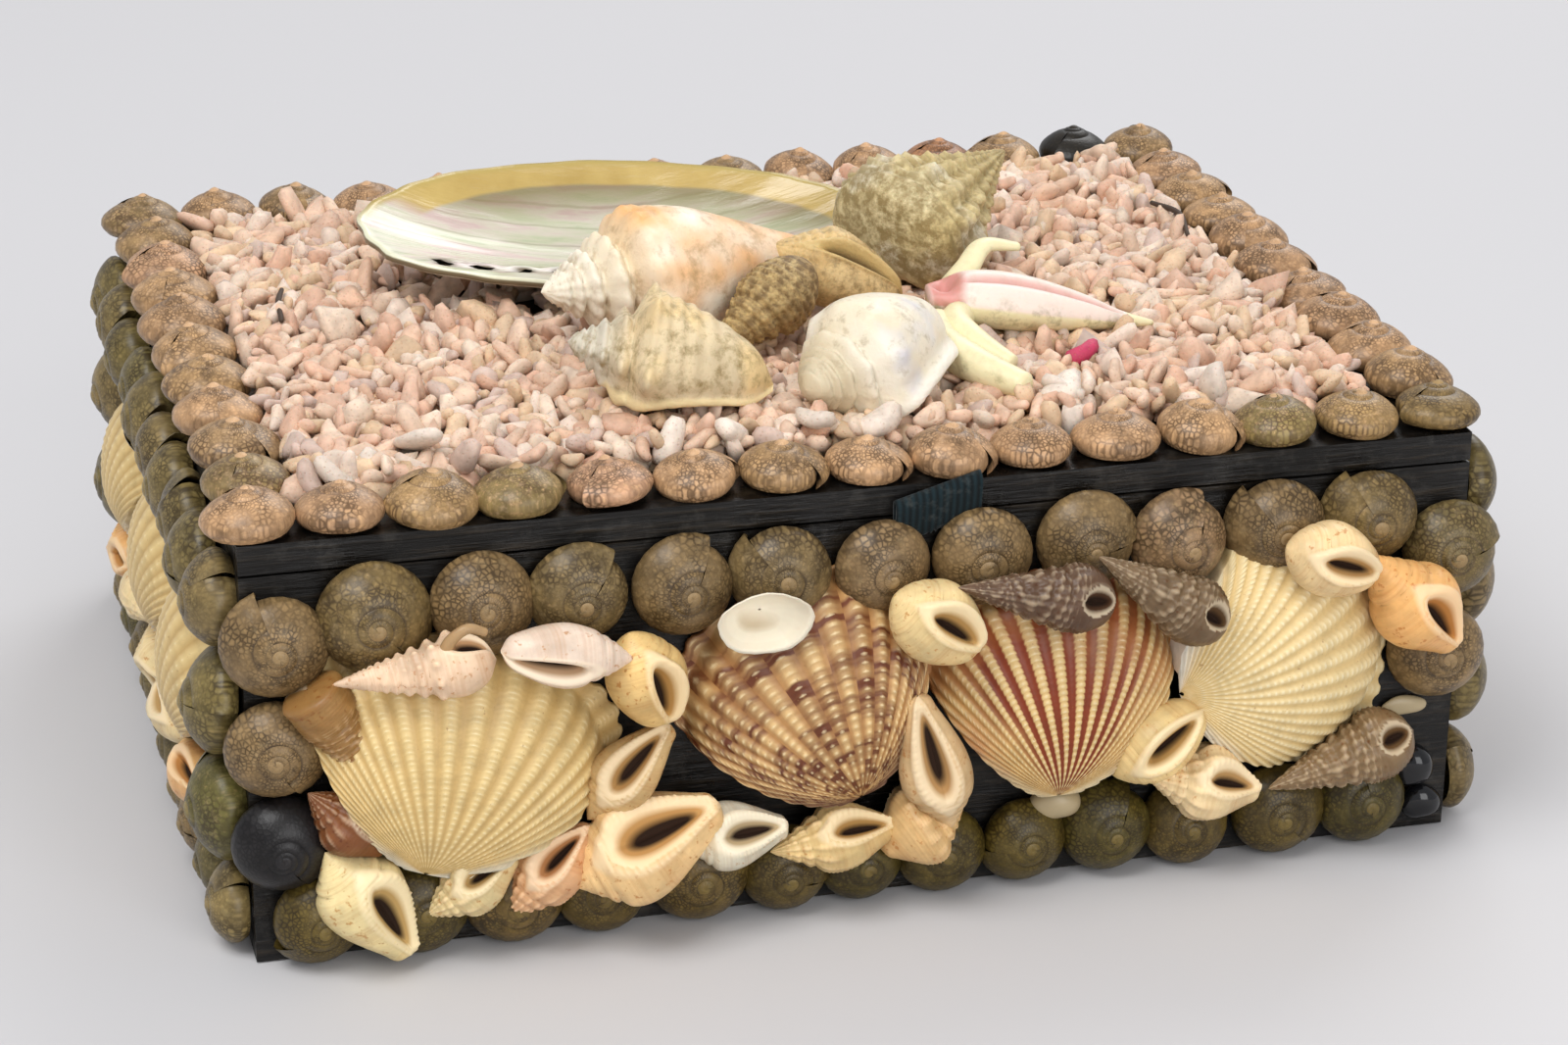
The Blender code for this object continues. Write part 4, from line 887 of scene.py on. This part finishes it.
ROUGH_WHELK = dict(WHELK, bulge=0.20, suture=0.5, growth=1.3, mouth=(0.5, 0.97, 24), relief=[
    ("knob", 13, 0.5, 0.6, 0.14), ("cord", 3, 1.0, 2.0, 0.06)], outline=[
    (0, 0), (0.04, 0.07), (0.20, 0.23), (0.40, 0.38), (0.58, 0.49), (0.70, 0.50), (0.84, 0.40),
    (0.95, 0.22), (1, 0)])


def shell_paint(name, ground, second, patch, dirt, lip, amounts, scale, rough=0.42, tip=None):
    """A large shell's clouded colours: ground and second tone, patches, and dirt in hollows.
    The amounts are the strength and the spread of the patches, and the dirt."""
    made, tree, shader = finish(name, Roughness=rough, Subsurface_Weight=0.06, Subsurface_Scale=0.001)
    turn, across, mouth, hump, _ = marks(tree)
    first, spread, soil = amounts
    tone = blend(tree, ramp(tree, noise(tree, scale, 4, 0.55), (0.40, 0.0), (0.62, 1.0)),
                 (*ground, 1), (*second, 1))
    zone = ramp(tree, noise(tree, scale * 1.3, 3, 0.5), (1 - spread - 0.06, 0.0), (1 - spread + 0.06, 1.0))
    zone = count(tree, "MULTIPLY", zone, ramp(tree, turn, (0.0, 0.0), (0.7, 1.0)))
    tone = blend(tree, count(tree, "MULTIPLY", zone, first), tone, (*patch, 1))
    early = ramp(tree, count(tree, "MULTIPLY", turn, -0.5), (0.05, 0.0), (0.7, 0.9))
    tone = blend(tree, early, tone, (*(tip or ground), 1))
    grime = ramp(tree, noise(tree, scale * 7, 6, 0.7), (1 - soil - 0.10, 0.0), (1 - soil + 0.12, 0.85))
    hollow = count(tree, "SUBTRACT", 1.10, count(tree, "MULTIPLY", hump, 0.7))
    tone = blend(tree, count(tree, "MULTIPLY", grime, hollow), tone, (*dirt, 1))
    seam = ramp(tree, across, (0.0, 0.55), (0.10, 0.0))
    tone = blend(tree, seam, tone, (*dirt, 1))
    tone = blend(tree, ramp(tree, mouth, (0.15, 0.0), (0.42, 0.85)), tone, (*lip, 1))
    # Painted shade: the mouth darkens to deep brown inside, for the shade in it.
    tone = blend(tree, ramp(tree, mouth, (0.60, 0.0), (0.90, 1.0)), tone, (0.10, 0.055, 0.03, 1))
    tree.links.new(tone, shader.inputs["Base Color"])
    relief(tree, shader, noise(tree, scale * 6, 8, 0.7), 0.0009 * soil, 0.8)
    return made


# Each shell is its form, tip and foot in mm on the lid, width, spin in degrees, and paint.
LARGE_SHELLS = {
    "large_white_conch": (CONCH, (-30.6, -12.6, 8.2), (6.0, -6.0, 8.2), 20.0, 100, shell_paint(
        "conch_paint", (0.86, 0.79, 0.66), (0.82, 0.68, 0.46), (0.78, 0.36, 0.08), (0.38, 0.24, 0.10),
        (0.80, 0.60, 0.36), (0.80, 0.49, 0.40), 42, tip=(0.84, 0.77, 0.62))),
    "grey_knobbed_conch": (KNOBBED, (-31.2, -31.6, 8.6), (-7.4, -38.4, 3.4), 17.0, -146, shell_paint(
        "knobbed_paint", (0.76, 0.60, 0.36), (0.58, 0.46, 0.28), (0.76, 0.54, 0.24), (0.26, 0.18, 0.06),
        (0.80, 0.64, 0.34), (0.70, 0.45, 0.43), 80, 0.5, (0.60, 0.55, 0.44))),
    "small_brown_shell": (ROUGH_WHELK, (-10.9, -22.8, 2.2), (3.0, -17.2, 10.8), 9.4, 120, shell_paint(
        "brown_paint", (0.60, 0.42, 0.17), (0.66, 0.48, 0.22), (0.40, 0.25, 0.09), (0.13, 0.07, 0.02),
        (0.5, 0.35, 0.16), (0.70, 0.45, 0.56), 110, 0.6)),
    "tan_lipped_shell": (STROMBUS, (-0.4, -9.8, 11.0), (16.4, -11.4, 3.2), 10.4, -38, shell_paint(
        "tan_paint", (0.70, 0.48, 0.20), (0.76, 0.56, 0.27), (0.54, 0.34, 0.12), (0.24, 0.15, 0.05),
        (0.66, 0.48, 0.20), (0.70, 0.45, 0.46), 90, 0.4)),
    "rough_top_shell": (TOP_SHELL, (38.0, 13.6, 13.6), (16.4, -2.2, 6.0), 21.6, 150, shell_paint(
        "top_paint", (0.64, 0.50, 0.23), (0.76, 0.65, 0.38), (0.84, 0.80, 0.68), (0.26, 0.18, 0.06),
        (0.5, 0.4, 0.2), (0.70, 0.45, 0.56), 85, 0.6, (0.58, 0.46, 0.22))),
    "pale_blue_conch": (PALE, (-4.8, -43.6, 4.4), (14.6, -31.6, 7.2), 16.0, -146, shell_paint(
        "pale_paint", (0.88, 0.83, 0.73), (0.76, 0.66, 0.48), (0.52, 0.53, 0.64), (0.34, 0.26, 0.14),
        (0.88, 0.82, 0.70), (0.75, 0.42, 0.36), 60, 0.35, (0.60, 0.50, 0.33))),
}
for name, (form, tip, foot, width, spin, paint) in LARGE_SHELLS.items():
    piece(name + "_whorls", [lid_laid(form, tip, foot, width, spin)], paint, [name])


# The spider conch lies on its back with its slit mouth up. Its long spines are worn blunt
# and stick out from under its neighbours.
SPIDER = [
    ([(17.6, -19.6, 5.6), (21.0, -20.0, 5.8), (25.5, -20.6, 5.4), (31.0, -21.2, 4.4), (37.0, -21.9, 3.2),
      (42.0, -22.4, 2.0), (46.5, -22.6, 1.2)], [2.6, 4.2, 4.9, 4.6, 3.2, 1.6, 0.5], 0.72),
    ([(21.5, -18.0, 5.8), (24.0, -15.4, 8.0), (27.0, -12.8, 9.8), (31.6, -12.4, 9.2)],
     [2.6, 1.7, 1.4, 0.8], 0.7),
    ([(21.0, -22.8, 4.8), (19.2, -26.4, 4.4), (20.6, -31.0, 3.4), (23.6, -35.7, 2.4)],
     [1.9, 2.1, 1.9, 1.1], 1.0),
    ([(17.4, -24.4, 4.2), (16.2, -30.0, 3.8), (18.4, -36.4, 3.0), (22.8, -43.0, 2.2)],
     [2.0, 2.3, 2.3, 1.7], 1.0),
]


def spider_paint():
    """Cream and pink, pinkest at its slit and its broken end, with green-black dirt."""
    made, tree, shader = finish("spider_paint", Roughness=0.42, Subsurface_Weight=0.08,
                                Subsurface_Scale=0.001)
    _, over, _, pink, _ = marks(tree)
    tone = blend(tree, noise(tree, 180, 4), (0.74, 0.64, 0.35, 1), (0.80, 0.73, 0.48, 1))
    tone = blend(tree, ramp(tree, pink, (0.5, 0.0), (0.8, 1.0)), tone, (0.80, 0.66, 0.58, 1))
    tone = blend(tree, ramp(tree, pink, (0.8, 0.0), (1.0, 1.0)), tone, (0.62, 0.26, 0.22, 1))
    dirt = ramp(tree, noise(tree, 320, 6, 0.7), (0.50, 0.0), (0.68, 0.75))
    low = ramp(tree, over, (0.0, 1.0), (0.6, 0.25))
    tone = blend(tree, count(tree, "MULTIPLY", dirt, low), tone, (0.20, 0.17, 0.06, 1))
    tree.links.new(tone, shader.inputs["Base Color"])
    relief(tree, shader, noise(tree, 900, 5, 0.6), 0.00012, 0.7)
    return made


# The first rod is the body: the slit runs along it, and its near end is broken open.
parts = []
for number, (points, radii, flat) in enumerate(SPIDER):
    spots, faces, mark = rod(points, radii, flat, sides=48 if number == 0 else 24, steps=14)
    if number == 0:
        slit = np.exp(-((mark[:, 2] - 0.28) / 0.13) ** 2) * (mark[:, 1] > 0)
        slit *= np.clip(np.minimum(mark[:, 0] - 0.18, 0.85 - mark[:, 0]) * 9, 0, 1)
        spots[:, 2] -= 2.0 * slit
        hole = np.exp(-((mark[:, 0] - 0.12) / 0.055) ** 2 - (mark[:, 2] / 0.5) ** 2) * (mark[:, 1] > 0)
        spots[:, 2] -= 2.4 * hole
        ends = np.clip(1 - np.abs(mark[:, 0] - 0.10) / 0.12, 0, 1) * 0.45
        face = 0.28 * (mark[:, 1] > 0.1) * (mark[:, 0] < 0.85)
        mark[:, 3] = np.clip(0.5 + face + 0.5 * slit + 0.5 * hole + ends, 0, 1)
    spots = spots + (0, 0, LID_TOP + BED_TOP)
    parts.append((spots, faces, mark))
piece("spider_conch_body", parts, spider_paint(), ["spider_conch"])


# The ear shell is a deep bowl, mother-of-pearl inside and chalky outside, with a row of holes
# along one side. It lies open side up on the coral, behind the conches.
EAR_HOLES = [
    (-24.8, -8.8, 0.8), (-20.0, -9.9, 0.9), (-14.6, -10.4, 1.0), (-9.2, -10.2, 1.05), (-3.6, -9.4, 0.9)]
HOLE_STRETCH = 1.25


def ear_shell():
    """An open ear-shaped bowl with a row of holes along its near side."""
    length, width, depth, thick = 69.0, 31.0, 7.8, 1.1
    rings, sides = 44, 120
    turn = np.linspace(0, 2 * math.pi, sides, endpoint=False)
    parts = []
    for inner in (True, False):
        share = np.linspace(1.0, 0.02, rings)[:, None]
        egg = 1 - 0.10 * np.cos(turn)
        wave = 1 + 0.008 * np.sin(9 * turn) + 0.006 * np.sin(23 * turn + 1)
        along = length / 2 * share * np.cos(turn) * wave
        aside = width / 2 * share * np.sin(turn) * egg * wave
        sink = -depth * (1 - share ** 2.2) * (0.24 + 0.76 * eased(aside, -13.0, 6.0))
        sink = sink + 0.16 * np.sin(aside * 1.15 + along * 0.05) * share * (1 - share) * 4
        sink = sink + (0 if inner else -thick) - 0.25 * (1 - share)
        fold = np.exp(-((aside + width * 0.33) / 1.6) ** 2) * 0.8 * (1 - share ** 6)
        sink = sink - fold
        near = np.full(sink.shape, 9.0)
        for across, up, radius in EAR_HOLES:
            near = np.minimum(near, np.hypot((along - across) / HOLE_STRETCH, aside - up) - radius)
        sink = sink + 0.30 * np.exp(-((near - 0.7) / 0.6) ** 2)
        spots = np.stack([along, aside, sink], -1)
        mark = np.zeros((rings, sides, 4))
        mark[..., 0] = along / length
        mark[..., 1] = aside / width
        # Round each hole the inside carries a mark that the skin turns dark as painted shade.
        mark[..., 2] = 0.5 * np.exp(-np.maximum(near, 0) / 0.8) if inner else 1
        mark[..., 3] = share
        faces = weave(rings, sides, closed=True)
        parts.append((spots.reshape(-1, 3), faces if inner else faces[:, ::-1], mark.reshape(-1, 4)))
    spots = np.vstack([parts[0][0], parts[1][0]])
    mark = np.vstack([parts[0][2], parts[1][2]])
    faces = np.vstack([parts[0][1], parts[1][1] + rings * sides])
    middle = spots[faces].mean(1)
    open_here = np.zeros(len(faces), bool)
    for across, up, radius in EAR_HOLES:
        open_here |= np.hypot((middle[:, 0] - across) / HOLE_STRETCH, middle[:, 1] - up) < radius
    return spots, np.vstack([faces[~open_here], rim_faces(rings, sides)]).tolist(), mark


def nacre_skin():
    """Pearly green, pink and white inside, with a tan band under its rim, painted shadow below the far rim
    and painted shade round its holes; chalky outside.
    """
    made, tree, shader = finish("nacre_skin", Roughness=0.22, Coat_Weight=0.4, Coat_Roughness=0.15)
    along, aside, outside, share, _ = marks(tree)
    flow = node(tree, "CombineXYZ", {0: count(tree, "MULTIPLY", along, 2.2),
                                     1: count(tree, "MULTIPLY", aside, 7.0), 2: 0.0}).outputs[0]
    pearl = ramp(tree, noise(tree, 1.6, 5, 0.6, flow), (0.30, (0.30, 0.42, 0.25)),
                 (0.42, (0.54, 0.57, 0.40)), (0.52, (0.66, 0.60, 0.52)), (0.60, (0.62, 0.42, 0.45)),
                 (0.72, (0.42, 0.52, 0.40)))
    milk = blend(tree, 0.30, pearl, (0.54, 0.50, 0.34, 1))
    edge = count(tree, "MULTIPLY_ADD", noise(tree, 60, 4), 0.06, aside)
    lines = count(tree, "SINE", count(tree, "MULTIPLY", edge, 70.0))
    milk = blend(tree, ramp(tree, lines, (0.90, 0.0), (1.0, 0.40)), milk, (0.26, 0.24, 0.15, 1))
    far = count(tree, "MULTIPLY_ADD", along, 0.35, aside)
    # Painted shadow: the wall under the far rim is darkened to olive for the shadow the rim casts.
    under = count(tree, "MULTIPLY", ramp(tree, share, (0.58, 0.0), (0.82, 0.8)),
                  ramp(tree, far, (0.08, 0.0), (0.26, 1.0)))
    milk = blend(tree, under, milk, (0.20, 0.15, 0.045, 1))
    shelf = count(tree, "MULTIPLY_ADD", noise(tree, 60, 4), 0.05, share)
    band = count(tree, "MULTIPLY", ramp(tree, shelf, (0.865, 0.0), (0.885, 1.0)),
                 ramp(tree, far, (0.06, 0.0), (0.13, 1.0)))
    tan = blend(tree, noise(tree, 220, 5), (0.40, 0.26, 0.06, 1), (0.60, 0.44, 0.15, 1))
    tone = blend(tree, band, milk, tan)
    lip = ramp(tree, share, (0.955, 0.0), (0.985, 1.0))
    rim = blend(tree, ramp(tree, aside, (0.0, 0.0), (0.2, 1.0)), (0.74, 0.72, 0.52, 1),
                (0.46, 0.34, 0.10, 1))
    tone = blend(tree, lip, tone, rim)
    # Painted shade: the inside round each hole is darkened for the shade seen through it.
    tone = blend(tree, ramp(tree, outside, (0.20, 0.0), (0.42, 0.9)), tone, (0.10, 0.06, 0.02, 1))
    chalk = ramp(tree, noise(tree, 160, 6, 0.7), (0.35, (0.34, 0.27, 0.18)), (0.65, (0.62, 0.55, 0.42)))
    tone = blend(tree, count(tree, "GREATER_THAN", outside, 0.9), tone, chalk)
    tree.links.new(tone, shader.inputs["Base Color"])
    relief(tree, shader, noise(tree, 4.0, 5, 0.6, flow), 0.0003, 0.6)
    return made


ear = Matrix.Translation((-14.5, 12.0, 8.6 + BED_TOP))
for axis, degrees in (("Z", -3), ("Y", 2), ("X", 12)):
    ear = ear @ Matrix.Rotation(math.radians(degrees), 4, axis)
piece("abalone_bowl", [carried(face_axes("lid") @ ear, ear_shell())], nacre_skin(), ["abalone"])


# The lid is bedded with broken coral: pink and cream knobs and rods of a few millimetres,
# poured onto wet glue, so that they lie every way and on top of each other.
def coral_bit(chance, long, net):
    """One knobbly bit of coral, a bent rod with stubby branches, as its points and faces."""
    spots, faces = net
    spots = spots * (long, long * chance.uniform(0.42, 0.66), long * chance.uniform(0.38, 0.60)) / 2
    bend = chance.uniform(-0.7, 0.7) / long
    spots[:, 1] += bend * spots[:, 0] ** 2
    for _ in range(chance.choice((2, 3, 4))):
        push = np.array([chance.gauss(0, 0.9), chance.gauss(0, 1), chance.gauss(0, 1)])
        push /= np.linalg.norm(push)
        near = np.clip(spots @ push / (long * 0.22), 0, 1.3) ** 2.4
        spots += push * near[:, None] * long * chance.uniform(-0.04, 0.24)
    spin = Matrix.Rotation(chance.uniform(0, 6.28), 3, "Z") @ Matrix.Rotation(chance.gauss(0, 0.55), 3, "Y")
    return (np.asarray(spin @ Matrix.Rotation(chance.uniform(0, 6.28), 3, "X")) @ spots.T).T, faces


def blunt_ball(level):
    """The points and faces of a ball drawn out to a blunt-ended rod."""
    spots, faces = ball(level)
    spots[:, 1:] *= np.maximum(np.hypot(spots[:, 1], spots[:, 2]), 0.1)[:, None] ** -0.45
    return spots, faces


COARSE, FINE = blunt_ball(1), blunt_ball(2)
PINKS = [(0.84, 0.56, 0.40), (0.80, 0.50, 0.34), (0.86, 0.63, 0.47), (0.86, 0.69, 0.54), (0.76, 0.43, 0.29),
         (0.82, 0.58, 0.36), (0.70, 0.48, 0.28), (0.88, 0.72, 0.60), (0.80, 0.50, 0.36), (0.84, 0.60, 0.44),
         (0.62, 0.46, 0.40)]
BLEACHED, TONED, RED = (0.90, 0.80, 0.70), (0.72, 0.53, 0.38), (0.50, 0.035, 0.10)
EAR_SEAT, EAR_REACH = (-14.5, 13), (32, 12)


def coral_skin():
    """Porous matt coral, each bit in its own pink or cream, darker brown in its pores."""
    made, tree, shader = finish("coral_skin", Roughness=0.62, Subsurface_Weight=0.10,
                                Subsurface_Scale=0.0008)
    dye = node(tree, "Attribute", attribute_name="dye").outputs["Color"]
    pores = node(tree, "TexVoronoi", {"Vector": node(tree, "TexCoord").outputs["Object"], "Scale": 1900})
    pore = ramp(tree, pores.outputs["Distance"], (0.05, 0.0), (0.30, 1.0))
    cloud = ramp(tree, noise(tree, 700, 5, 0.6), (0.30, 0.78), (0.70, 1.12))
    tone = blend(tree, 1.0, dye, cloud, "MULTIPLY")
    tone = blend(tree, count(tree, "MULTIPLY_ADD", pore, -0.35, 0.35), tone, (0.44, 0.20, 0.09, 1))
    tree.links.new(tone, shader.inputs["Base Color"])
    relief(tree, shader, pore, 0.00010, 0.6)
    return made


low, high = [corner * 1000 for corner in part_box("coral_bed")]
chance = random.Random(21)
layers = {"coral_bits_under": [], "coral_bits_left": [], "coral_bits_right": []}
for layer, spacing, height in (("under", 3.3, 1.0), ("top", 2.2, 2.7)):
    for row in range(int((high.y - low.y) / spacing)):
        for place in range(int((high.x - low.x) / spacing)):
            across = low.x + (place + 0.5 + chance.uniform(-0.45, 0.45)) * spacing
            up = low.y + (row + 0.5 + chance.uniform(-0.45, 0.45)) * spacing
            if layer == "top" and (((across - EAR_SEAT[0]) / EAR_REACH[0]) ** 2
                                   + ((up - EAR_SEAT[1]) / EAR_REACH[1]) ** 2) < 1:
                continue
            long = min(4.8, max(2.0, chance.gauss(3.2, 0.7)))
            white = up < low.y + 8 and chance.random() < 0.05
            size, net = (long * 1.5, COARSE) if layer == "under" else (5.2 if white else long, FINE)
            spots, faces = coral_bit(chance, size, net)
            spots = spots + (across, up, LID_TOP + height + chance.uniform(-0.5, 0.8) + white)
            colour = np.array(BLEACHED if white else chance.choice(PINKS)) * chance.uniform(0.72, 0.94)
            colour = 0.72 * colour + 0.28 * np.array(TONED)
            part = "under" if layer == "under" else "left" if across < 0 else "right"
            layers["coral_bits_" + part].append((spots, faces, np.full((len(spots), 4), 0.5), colour))
spots, faces = coral_bit(chance, 4.4, FINE)
layers["coral_bits_right"].append((spots + (34.7, -31.9, LID_TOP + 4.4), faces,
                                   np.full((len(spots), 4), 0.5), RED))
coral = coral_skin()
for name, parts in layers.items():
    piece(name, parts, coral, ["coral_bed"])


# Two thin dark stems of dry weed lie on the coral, one near each end. They came with it and
# are held by its glue.
STEMS = ([(-59.4, 13.6, 4.6), (-60.6, 8.0, 5.0), (-61.0, 2.4, 4.4)],
         [(62.0, 21.0, 4.8), (63.4, 14.0, 5.4), (62.2, 7.0, 4.6)])
stem = finish("dry_stem", Base_Color=(0.05, 0.028, 0.015, 1), Roughness=0.7)[0]
parts = [carried(face_axes("lid"), rod(line, [0.32, 0.42, 0.30], sides=10, steps=6)) for line in STEMS]
piece("dry_weed_stems", parts, stem, [])


# A scrap of dark ribbed tape sticks out over the front edge of the lid, folded into a loop,
# with its cut ends frayed. Its other end is glued under the shells on the lid.
def folded_tape():
    """The tape as a sheet: across its width, and along its length round the fold."""
    path = smooth_line([(0.35, -1.9), (0.45, -0.4), (0.75, 1.2), (1.30, 1.75), (1.95, 1.2),
                        (1.85, -0.6), (1.50, -2.4), (1.15, -3.2)], 34)
    shares = np.linspace(0, 1, 40)
    wide, rib_pitch, rib_height, slant = 10.2, 0.42, 0.035, 3.0
    fray = random.Random(5)
    spots = []
    for row, (out, up) in enumerate(path):
        for share in shares:
            rib = rib_height * math.sin(share * wide / rib_pitch * 2 * math.pi)
            slope = (share - 0.5) * slant
            end = fray.uniform(-0.35, 0.15) if row in (0, len(path) - 1) else 0
            across = 2.0 + wide * share - 0.6 * (1 - share) * (row / len(path))
            spots.append((across, up + slope + end + 0.2, out + rib))
    return np.array(spots), weave(len(path), len(shares)), np.tile([0, 0, 0, 0.5], (len(spots), 1))


def tape_cloth():
    """Dark blue-green ribbed cloth, dusty along its folds."""
    made, tree, shader = finish("tape_cloth", Roughness=0.85, Sheen_Weight=0.08, Specular_IOR_Level=0.2)
    spot = node(tree, "TexCoord").outputs["Object"]
    weft = node(tree, "TexWave", {"Vector": spot, "Scale": 380, "Distortion": 0.6}, bands_direction="X")
    dust = ramp(tree, noise(tree, 500, 5, 0.7), (0.50, 0.0), (0.72, 0.5))
    tone = blend(tree, weft.outputs["Fac"], (0.0015, 0.0045, 0.0055, 1), (0.006, 0.016, 0.020, 1))
    tone = blend(tree, dust, tone, (0.07, 0.075, 0.07, 1))
    tree.links.new(tone, shader.inputs["Base Color"])
    relief(tree, shader, weft.outputs["Fac"], 0.0001, 0.8)
    return made


tape_axes = face_axes("front") @ Matrix.Translation((0, LID_TOP - 2.2, 0))
tape = piece("cloth_tape", [carried(tape_axes, folded_tape())], tape_cloth(), ["cloth_tab"])
thick = tape.modifiers.new("thickness", "SOLIDIFY")
thick.thickness = 0.0004
